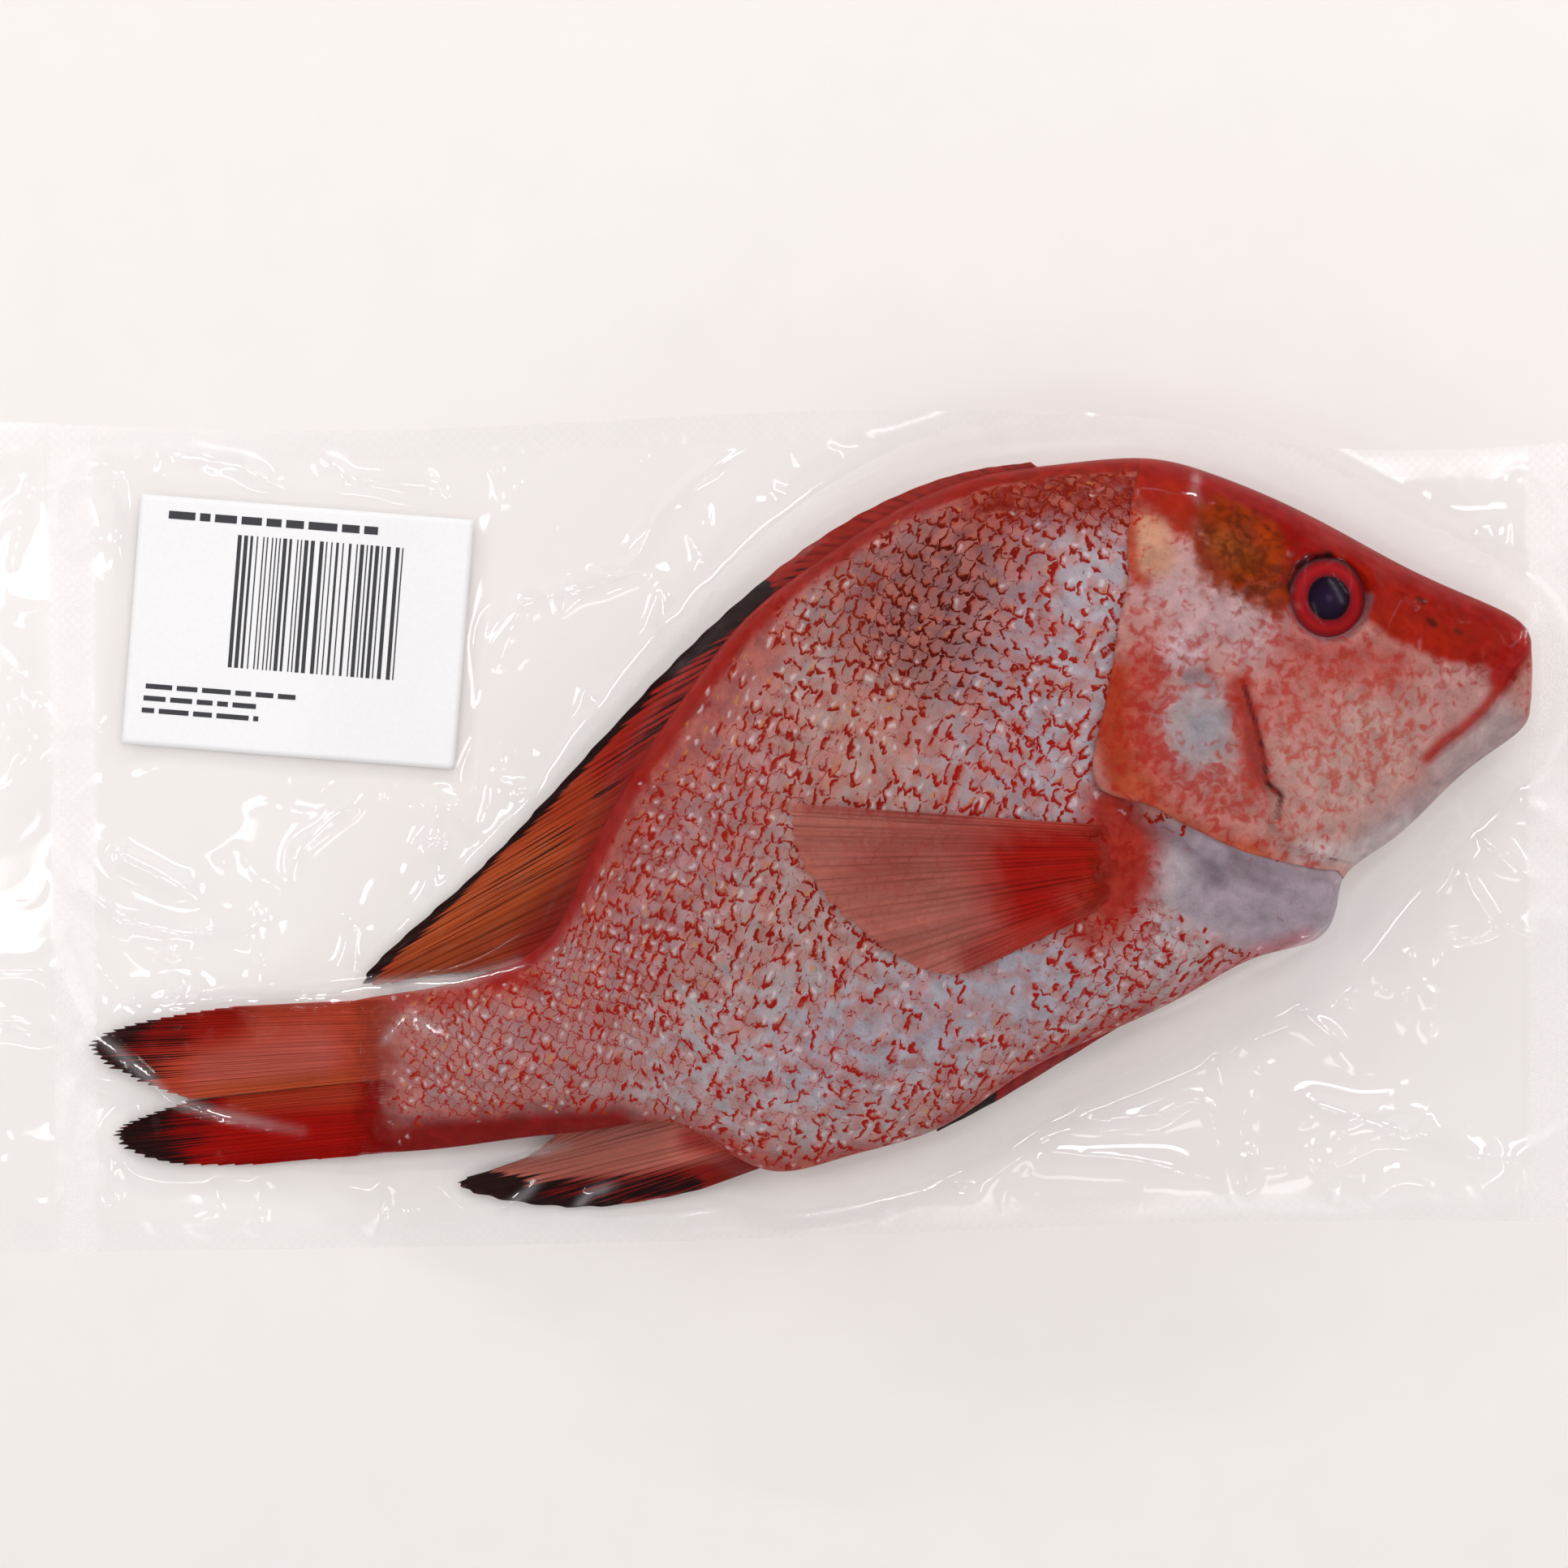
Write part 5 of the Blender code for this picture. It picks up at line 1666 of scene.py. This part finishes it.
    def sheet_plan(self, columns: int, rows: int) -> tuple[Grid, Grid]:
        """X and Y of a grid that fills the bag's outline."""
        x = np.linspace(-self.length / 2, self.length / 2, columns)[:, None]
        low, high = self.outline(x)
        share = np.linspace(0, 1, rows)[None, :]
        return np.broadcast_to(x, (columns, rows)), low + (high - low) * share

    def small_creases(self, fish: HeightMap) -> tuple[Crease, ...]:
        """Seeded creases from the fish's outline outwards, each bent once or twice."""
        random = np.random.default_rng(7)
        covered = fish.widened() > 0
        inner = np.all(neighbours(covered), axis=0)
        places = np.argwhere(covered & ~inner)
        level = covered.astype(float)
        for _ in range(6):
            level = (level + sum(neighbours(level))) / 5
        slope_x, slope_y = np.gradient(level)
        made = []
        for i, j in places[random.choice(len(places), self.crease_count, replace=False)]:
            heading = math.atan2(-slope_y[i, j], -slope_x[i, j]) + random.normal(0, 0.5)
            turns = heading + np.cumsum(random.normal(0, 0.45, 4))
            reach = random.uniform(6, 38) * random.uniform(0.4, 1.0)
            x = fish.x[i] - 2 * math.cos(heading) + np.cumsum(np.cos(turns)) * reach / 4
            y = fish.y[j] - 2 * math.sin(heading) + np.cumsum(np.sin(turns)) * reach / 4
            width = random.uniform(2.0, 4.2)
            made.append(Crease(tuple(zip(x, y)), width * random.uniform(0.3, 0.55), width))
        return tuple(made)

    def draped(self, fish: HeightMap, label: "Label") -> tuple[Grid, Grid, Grid]:
        """The film over the map's cells.

        Args:
            fish: The height map of the fish.
            label: The label, under which the film is flat.

        Returns:
            The film's height, how much each cell is creased, and how much it sticks to skin.
        """
        x, y = np.meshgrid(fish.x, fish.y, indexing="ij")
        rise = np.zeros(x.shape)
        for crease in self.creases + self.small_creases(fish):
            rise = np.maximum(rise, crease.rise(x, y))
        swell = 0.5 + 0.5 * waves(x, y, 55.0, 51)
        ripple = np.abs(waves(x + 14 * waves(x, y, 50.0, 52), y, 30.0, 53))
        ridges = np.clip(1 - ripple / 0.22, 0, 1) ** 1.5 * np.clip(swell, 0, 1)
        loose = self.slack * np.clip(swell, 0, 1.2) + self.ripple * ridges
        calm = ease(0.5, 12.0, self.from_rim(x, y)) * (1 - label.cover(x, y))
        floor = np.maximum(fish.widened() + self.clearance, self.flange_height + (loose + rise) * calm)
        z = floor.copy()
        for _ in range(self.relax_steps):
            wide = np.pad(z, 1, mode="edge")
            mean = (wide[2:, 1:-1] + wide[:-2, 1:-1] + wide[1:-1, 2:] + wide[1:-1, :-2]) / 4
            z = np.maximum(floor, mean - self.bend * fish.cell**2 / 4)
        skin = fish.widened(2)
        free = ease(0.8, 3.0, z - skin)
        z = z + rise * free * ease(1.5, 4.0, z - floor) * 0.8
        wet = np.where(skin > 0, 1 - 0.25 * ease(1.0, 5.0, z - skin), 0.0)
        drawn = np.max([crease.rise(x, y) for crease in self.tight], axis=0)
        wet = wet * (1 - np.clip(drawn / 0.5, 0, 1))
        creased = np.clip(rise / 1.5, 0, 1) * free * 0.3 + np.clip(drawn / 0.8, 0, 1)
        return z + drawn, creased, wet

    def seal_mask(self, x: Grid, y: Grid) -> Grid:
        """Where the film is embossed: bands across both ends and a narrow strip along each edge."""
        mask = np.zeros(np.shape(x))
        for path, width in self.seal_bands:
            away, _, _ = path_distance(x, y, path)
            mask = np.maximum(mask, 1 - ease(width * 0.9, width * 1.1, away))
        return np.maximum(mask, 0.5 * (1 - ease(6.0, 7.5, self.from_sides(x, y))))

    def over(self, fish: HeightMap, label: "Label") -> Piece:
        """The film over the fish."""
        columns, rows = int(self.length / self.cell) + 1, int(self.depth / self.cell) + 1
        x, y = self.sheet_plan(columns, rows)
        z, creased, wet = self.draped(fish, label)
        values = [fish.like(grid).read(x, y) for grid in (z, creased, wet)]
        film = np.dstack([self.seal_mask(x, y), values[1], values[2]])
        return grid_piece("film_over", np.dstack([x, y, values[0]]), None, {"film": film})

    def under(self) -> Piece:
        """The film under the fish, flat on the table."""
        x, y = self.sheet_plan(*self.under_points)
        z = self.under_height + 0.2 * (1 - ease(0, 6, self.from_rim(x, y)))
        film = np.dstack([self.seal_mask(x, y), 0 * x, 0 * x])
        piece = grid_piece("film_under", np.dstack([x, y, z]), None, {"film": film})
        piece.data.flip_normals()
        return piece


@dataclass
class Label:
    """The paper label on the bag, with plain bars and rules for its print.

    Attributes:
        size: Its length and depth.
        turn: How far it is turned from the bag's long axis.
        height: The height of its underside.
        bars_box: The box that the upright bars fill, on the label's own axes.
        rules: The broken rules, each a start, a level, a length and a depth.
        paper_points: Grid points along the paper and up it.
        strip_points: Grid points across a printed strip and up it.
    """

    size: Point
    centre: Point
    turn: float
    height: float
    thickness: float = 0.16
    bars_box: Box = (-17.0, -9.8, 23.7, 22.0)
    bar_count: int = 30
    rules: tuple[Box, ...] = (
        (-33, 24.6, 51, 1.9), (-35.3, -16.4, 36, 1.2),
        (-35.6, -19.3, 27, 1.2), (-35.8, -22.2, 28, 1.2),
    )  # fmt: skip
    paper_points: tuple[int, int] = (61, 46)
    strip_points: tuple[int, int] = (3, 9)

    def placed(self, u: Grid, v: Grid) -> tuple[Grid, Grid]:
        """X and Y of places on the label, from its own axes through its middle."""
        cosine, sine = math.cos(self.turn), math.sin(self.turn)
        return self.centre[0] + u * cosine - v * sine, self.centre[1] + u * sine + v * cosine

    def surface(self, u: Grid, v: Grid) -> Grid:
        """Places on the paper's upper face, which bows a little between its corners."""
        x, y = self.placed(u, v)
        bow = 0.10 * waves(x, y, 45.0, 61) + 0.35 * ease(0.7, 1.0, np.abs(u) / self.size[0] * 2) ** 2
        return np.stack([x, y, self.height + self.thickness + 0.1 + bow], -1)

    def cover(self, x: Grid, y: Grid) -> Grid:
        """How far places lie under the label or close to it, from 0 to 1."""
        cosine, sine = math.cos(self.turn), math.sin(self.turn)
        u = (x - self.centre[0]) * cosine + (y - self.centre[1]) * sine
        v = (y - self.centre[1]) * cosine - (x - self.centre[0]) * sine
        past = np.maximum(np.abs(u) - self.size[0] / 2, np.abs(v) - self.size[1] / 2)
        return 1 - ease(1.0, 6.0, past)

    def paper(self) -> Piece:
        """The paper itself."""
        ends = zip(self.size, self.paper_points)
        u, v = np.meshgrid(*(np.linspace(-side / 2, side / 2, count) for side, count in ends), indexing="ij")
        piece = thickened(grid_piece("label_paper", self.surface(u, v)), self.thickness)
        piece.data.materials.append(PlainFinish("label_paper_white", "#f8f7f8", 0.45, 0.03).build())
        return piece

    def inked_boxes(self) -> list[Box]:
        """Every printed box on the label: upright bars of seeded widths, and broken rules."""
        random = np.random.default_rng(5)
        left, low, right, high = self.bars_box
        count = self.bar_count * 2
        widths = random.choice([1, 1, 2, 3], count)
        shares = np.cumsum(widths + np.arange(1, count + 1) % 2 * 0.9)
        edges = left + (right - left) * shares / shares[-1]
        boxes = [(edges[k], low, edges[k + 1], high) for k in range(0, len(edges) - 1, 2)]
        for start, level, length, depth in self.rules:
            end = start
            while end < start + length:
                run = random.uniform(2.5, 8.0)
                boxes.append((end, level, min(end + run, start + length), level + depth))
                end += run + 1.1
        return boxes

    def print(self) -> Piece:
        """The print, as thin flat strips just over the paper."""
        strips, (across, up) = [], self.strip_points
        for left, low, right, high in self.inked_boxes():
            u, v = np.meshgrid(np.linspace(left, right, across), np.linspace(low, high, up), indexing="ij")
            strip = self.surface(u, v)
            strip[..., 2] += 0.05
            strips.append(strip.reshape(-1, 3))
        cells = grid_quads(across, up)
        quads = np.concatenate([cells + across * up * k for k in range(len(strips))])[:, ::-1]
        mesh = bpy.data.meshes.new("label_print")
        mesh.from_pydata((np.concatenate(strips) * MM).tolist(), [], quads.tolist())
        if mesh.polygons[0].normal.z < 0:
            mesh.flip_normals()
        piece = linked("label_print", mesh)
        piece.data.materials.append(PlainFinish("label_ink", "#303036", 0.5, 0.3, 2500.0).build())
        return piece


@dataclass
class Studio:
    """The pale table, soft lights and the camera that looks straight down.

    Attributes:
        table_drop: How far the table lies under the pieces, so that nothing meets it.
        rings: Rings of panels, each its count, radius and height, a panel's width and depth,
            its radiance and the heading of its first panel.
        north: The share by which panels to the north are brighter.
        power: A lamp's watts for one unit of radiance and a square metre.
    """

    table_colour: str = "#f5f0ed"
    table_reach: float = 1500.0
    table_points: int = 9
    table_drop: float = 0.02
    world_colour: str = "#fbf8f8"
    world_strength: float = 0.38
    rings: tuple[tuple[int, float, float, Point, float, float], ...] = (
        (6, 1000, 720, (760, 460), 0.2, 0.2),
        (7, 1150, 400, (520, 12), 60, 0.5),
        (5, 800, 1000, (420, 12), 44, 0.3),
        (3, 450, 1100, (220, 150), 5.5, 0.9),
    )
    north: float = 0.5
    power: float = 4.0

    def table(self) -> Piece:
        """The table top."""
        places = np.linspace(-self.table_reach, self.table_reach, self.table_points)
        x, y = np.meshgrid(places, places, indexing="ij")
        top = grid_piece("table", np.dstack([x, y, 0 * x - self.table_drop]))
        top.data.materials.append(PlainFinish("pale_table", self.table_colour, 0.55, 0.02, 60.0).build())
        return top

    def lights(self) -> None:
        """A pale surrounding light, and panels that stand low round the table."""
        world = bpy.data.worlds.new("soft_room")
        world.use_nodes = True
        background = world.node_tree.nodes["Background"]
        background.inputs["Color"].default_value = colour_of(self.world_colour)
        background.inputs["Strength"].default_value = self.world_strength
        bpy.context.scene.world = world
        for count, radius, height, size, radiance, first in self.rings:
            for number in range(count):
                heading = first + math.tau * number / count
                self.panel(radius, height, size, radiance * (1 + self.north * math.sin(heading)), heading)

    def panel(self, radius: float, height: float, size: Point, radiance: float, heading: float) -> None:
        """One rectangular lamp that faces the middle of the table."""
        light = bpy.data.lights.new("panel", "AREA")
        light.shape = "RECTANGLE"
        light.size, light.size_y = size[0] * MM, size[1] * MM
        light.energy = self.power * radiance * light.size * light.size_y
        lamp = linked("panel", light)
        lamp.location = (radius * math.cos(heading) * MM, radius * math.sin(heading) * MM, height * MM)
        lamp.rotation_euler = lamp.location.to_track_quat("Z", "Y").to_euler()

    def camera(self) -> None:
        """A long lens straight over the middle of the photograph."""
        data = bpy.data.cameras.new("camera")
        data.sensor_width = SENSOR
        data.lens = SENSOR * (CAMERA_HEIGHT - FOCUS_Z) / PHOTO_SPAN
        data.clip_start = 0.05
        camera = linked("camera", data)
        camera.location = (0.0, CAMERA_Y * MM, CAMERA_HEIGHT * MM)
        bpy.context.scene.camera = camera


DORSAL = Fin(
    "fin_dorsal",
    ((62, 84), (45, 80), (27, 71.5), (10, 60), (-6, 47), (-20, 30), (-31.5, 13), (-42, -4), (-50, -20),
        (-60, -33)),
    ((58, 87), (38, 83.7), (14, 73), (-9, 56.3), (-32, 34.5), (-58, 6.5), (-80, -15.5), (-100.5, -35),
        (-86, -34.6), (-70, -33.6)),
    (22.5, 22, 21, 19.5, 17.5, 15, 12.5, 10.5, 9, 8),
    (22, 20, 17, 12.5, 8, 4.5, 3.2, 2.8, 3.2, 5),
    rays=34,
    base="#96341a",
    strokes=rows_of(
        Stroke,
        ("#a84c26", ((-56, -8), (-86, -28)), 8, 0.7, 0.8),
        ("#8e1a12", ((58, 87), (14, 73), (-20, 44), (-40, 16)), 6, 0.7, 0.9),
        ("#7e140e", ((-34, 12), (-48, -10), (-60, -27)), 5, 0.8, 0.7),
    ),
    veil=rows_of(
        Stroke,
        ((0.3, 0, 0), ((-60, -14), (-84, -30)), 8, 0.8, 1),
        ((0, 0.38, 0), ((4, 62), (-14, 44), (-28, 28), (-44, 10)), 3.4, 0.8, 1),
        ((0, 0.35, 0), ((-54, -2), (-84, -26)), 6, 0.8, 0.9),
        ((0, 1, 0), ((-6, 57.5), (-32, 36), (-58, 8), (-81, -14.5), (-102, -35)), 2.6, 0.7, 1),
    ),
)  # fmt: skip
ANAL = Fin(
    "fin_anal",
    ((3, -76.5), (-8, -75), (-18, -70), (-33, -65.5), (-54, -68.5)),
    ((-20, -85.3), (-51, -89.7), (-77.5, -85), (-67, -80.5), (-54, -72.5)),
    (13, 12, 11, 9, 7.5),
    (5.5, 3, 2.8, 3.2, 5.5),
    rays=16,
    base="#b46456",
    strokes=rows_of(
        Stroke,
        ("#9c2e26", ((2, -78), (-22, -73)), 3, 0.8, 0.9),
        ("#780c08", ((-6, -79.5), (-34, -85), (-62, -88)), 4, 0.5, 0.95),
    ),
    veil=rows_of(
        Stroke,
        ((0.4, 0, 0), ((-34, -73), (-60, -79)), 6, 0.6, 1),
        ((0, 0.5, 0), ((-22, -84), (-54, -86), (-78, -84)), 3.6, 0.7, 1),
        ((0, 0.9, 0), ((-66, -86), (-80, -85)), 3.6, 0.7, 1),
        ((0.8, 0.6, 0), ((-40, -90), (-68, -88.5), (-80, -85)), 1.8, 0.8, 1),
    ),
)
TAIL_UPPER = TailLobe(
    "fin_tail_upper",
    ((-92, -39.8), (-90, -43), (-88, -48), (-88, -53), (-88, -58)),
    ((-132, -42), (-153, -45.5), (-165.5, -51), (-157, -58), (-142.5, -64)),
    (5.2, 6.2, 6.8, 6.8, 6.2),
    (3.4, 3, 3, 3.2, 3.4),
    rays=26,
    base="#ac3e2a",
    strokes=rows_of(
        Stroke,
        ("#b0544a", ((-112, -53), (-136, -58)), 6, 0.8, 0.8),
        ("#92120a", ((-134, -44), (-154, -49)), 6, 0.7, 0.95),
        ("#a64422", ((-104, -60), (-138, -63)), 3, 0.8, 0.8),
    ),
    veil=rows_of(
        Stroke,
        ((0, 0, 1), ((-86, -38), (-86, -60)), 12, 0.7, 1, 1),
        ((0, 0.42, 0), ((-147, -48), (-155, -58)), 8, 0.8, 1),
        ((0, 0.68, 0), ((-160, -47), (-167, -52), (-159, -60)), 6, 0.8, 1),
        ((0.9, 0.6, 0), ((-153, -44), (-167, -50), (-166, -54), (-157, -60)), 2.6, 0.8, 1),
    ),
    fray=0.035,
)
TAIL_LOWER = TailLobe(
    "fin_tail_lower",
    ((-88, -58.2), (-88, -62), (-88, -67), (-90, -72), (-92, -76.2)),
    ((-142.5, -64.5), (-155, -69), (-159.5, -73.5), (-148, -78.9), (-126, -79.2)),
    (6, 6.4, 6.4, 6, 5),
    (2.7, 2.7, 2.7, 2.7, 2.9),
    rays=22,
    base="#960a04",
    strokes=rows_of(Stroke, ("#a43a22", ((-104, -62), (-130, -64)), 3.4, 0.8, 0.7)),
    veil=rows_of(
        Stroke,
        ((0, 0, 1), ((-86, -58), (-86, -78)), 12, 0.7, 1, 1),
        ((0, 0.42, 0), ((-141, -66), (-147, -78)), 8, 0.8, 1),
        ((0, 0.72, 0), ((-154, -68), (-162, -74), (-151, -80)), 6.5, 0.8, 1),
        ((0.9, 0.6, 0), ((-154, -67), (-162, -72), (-160, -76), (-149, -81)), 2.4, 0.8, 1),
    ),
    fray=0.035,
)
PELVIC = Fin(
    "fin_pelvic",
    ((90, -37.5), (72, -46.5), (54, -56), (38, -67)),
    ((88, -41.3), (70, -52.3), (51, -63.8), (36.5, -71.2)),
    (15, 15, 14.5, 14),
    (9, 8, 7.5, 8),
    rays=6,
    base="#861214",
    veil=rows_of(Stroke, ((0, 1, 0), ((48, -63), (35, -72)), 2.6, 0.8, 1)),
)
PECTORAL = FlankFin(
    "fin_pectoral",
    ((74, 2), (76, -3), (77, -8), (76, -13), (72, -18)),
    ((2, 7), (2.5, -3), (12, -17), (30, -30.5), (43, -32)),
    (),
    (),
    rays=17,
    base="#be6a5c",
    strokes=rows_of(
        Stroke,
        ("#a84a42", ((38, 0), (22, -6)), 8, 0.9, 0.7),
        ("#a03a34", ((42, 5), (6, 7)), 2, 0.8, 0.8),
        ("#920802", ((82, -5), (56, -7), (60, -22)), 12.5, 0.75, 0.97, 0.6),
        ("#981c06", ((77, -2), (74, -14)), 6, 0.7, 0.85, 0.6),
        ("#a2342a", ((60, -24), (44, -29)), 4, 0.8, 0.8),
    ),
    veil=rows_of(
        Stroke,
        ((0.5, 0, 0), ((2, 4), (10, -14), (34, -32)), 40, 0.3, 1),
        ((0, 0, 0), ((82, -5), (56, -7), (60, -22)), 12.5, 0.75, 1, 0.6),
        ((0, 0, 1), ((78, 6), (80, -4), (78, -22)), 6.5, 0.8, 1, 1.2),
    ),
    fray=0.02,
    ridge=0.06,
)


def label_from_frame() -> Label:
    """The label as the CAD model's label node has it."""
    low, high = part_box("label")
    centre = ((low[0] + high[0]) / 2 / MM, (low[1] + high[1]) / 2 / MM)
    return Label(size=(80.0, 60.0), centre=centre, turn=math.radians(-4.5), height=low[2] / MM)


def settle(piece: Piece, note: str) -> None:
    """Lets a piece ride on the root body and reports it with its note and its faces."""
    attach(piece, "root")
    log.info("%s: %s, %d faces", piece.name, note, len(piece.data.polygons))


def main() -> None:
    """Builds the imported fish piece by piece, then the studio round it."""
    logging.basicConfig(level=logging.INFO, format="%(message)s")
    bpy.context.scene.view_settings.view_transform = "Standard"
    skin = SkinFinish().build(scale_lattice_group())
    body = Body(BodyForm(), Relief(), SkinPaint())
    head, trunk = body.head(), body.trunk()
    for piece in (head, trunk):
        piece.data.materials.append(skin)
        settle(piece, "skin of the body")
    skin_map = HeightMap(x_range=(-200, 200), y_range=(-103, 103), cell=1.0)
    skin_map.add(trunk)
    for fin in (PECTORAL, TAIL_UPPER, TAIL_LOWER):
        fin.skin_map = skin_map
    fins = [fin.build() for fin in (DORSAL, ANAL, TAIL_UPPER, TAIL_LOWER, PELVIC, PECTORAL)]
    for fin in fins:
        settle(fin, "fin")
    centre, radius = body.relief.eye_centre, body.relief.eye_radius
    eyes = [
        Eye(centre, radius + 0.6, rise=2.6, tilt=(-0.42, -0.22), height=36.4, side=Side.OVER).build(),
        Eye(centre, radius, rise=1.2, tilt=(0.25, 0.35), height=4.6, side=Side.UNDER).build(),
    ]
    for eye in eyes:
        settle(eye, "eyeball")
    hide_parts("fish")
    bag = VacuumBag(length=400.0)
    tallest = HeightMap(x_range=(-201.5, 201.5), y_range=(-104, 104), cell=bag.cell)
    for piece in (head, trunk, eyes[0], *fins):
        tallest.add(piece)
    label = label_from_frame()
    over, under = bag.over(tallest, label), bag.under()
    for piece, finish in ((over, FilmFinish()), (under, FilmFinish(mirror=0.008, wet_mirror=0.008))):
        piece.data.materials.append(finish.build())
        piece.visible_shadow = piece.visible_diffuse = False
        settle(piece, "film of the bag")
    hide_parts("bag")
    paper, ink = label.paper(), label.print()
    for piece in (paper, ink):
        settle(piece, "label")
    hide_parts("label")
    studio = Studio()
    studio.table()
    studio.lights()
    studio.camera()


if __name__ == "__main__":
    main()
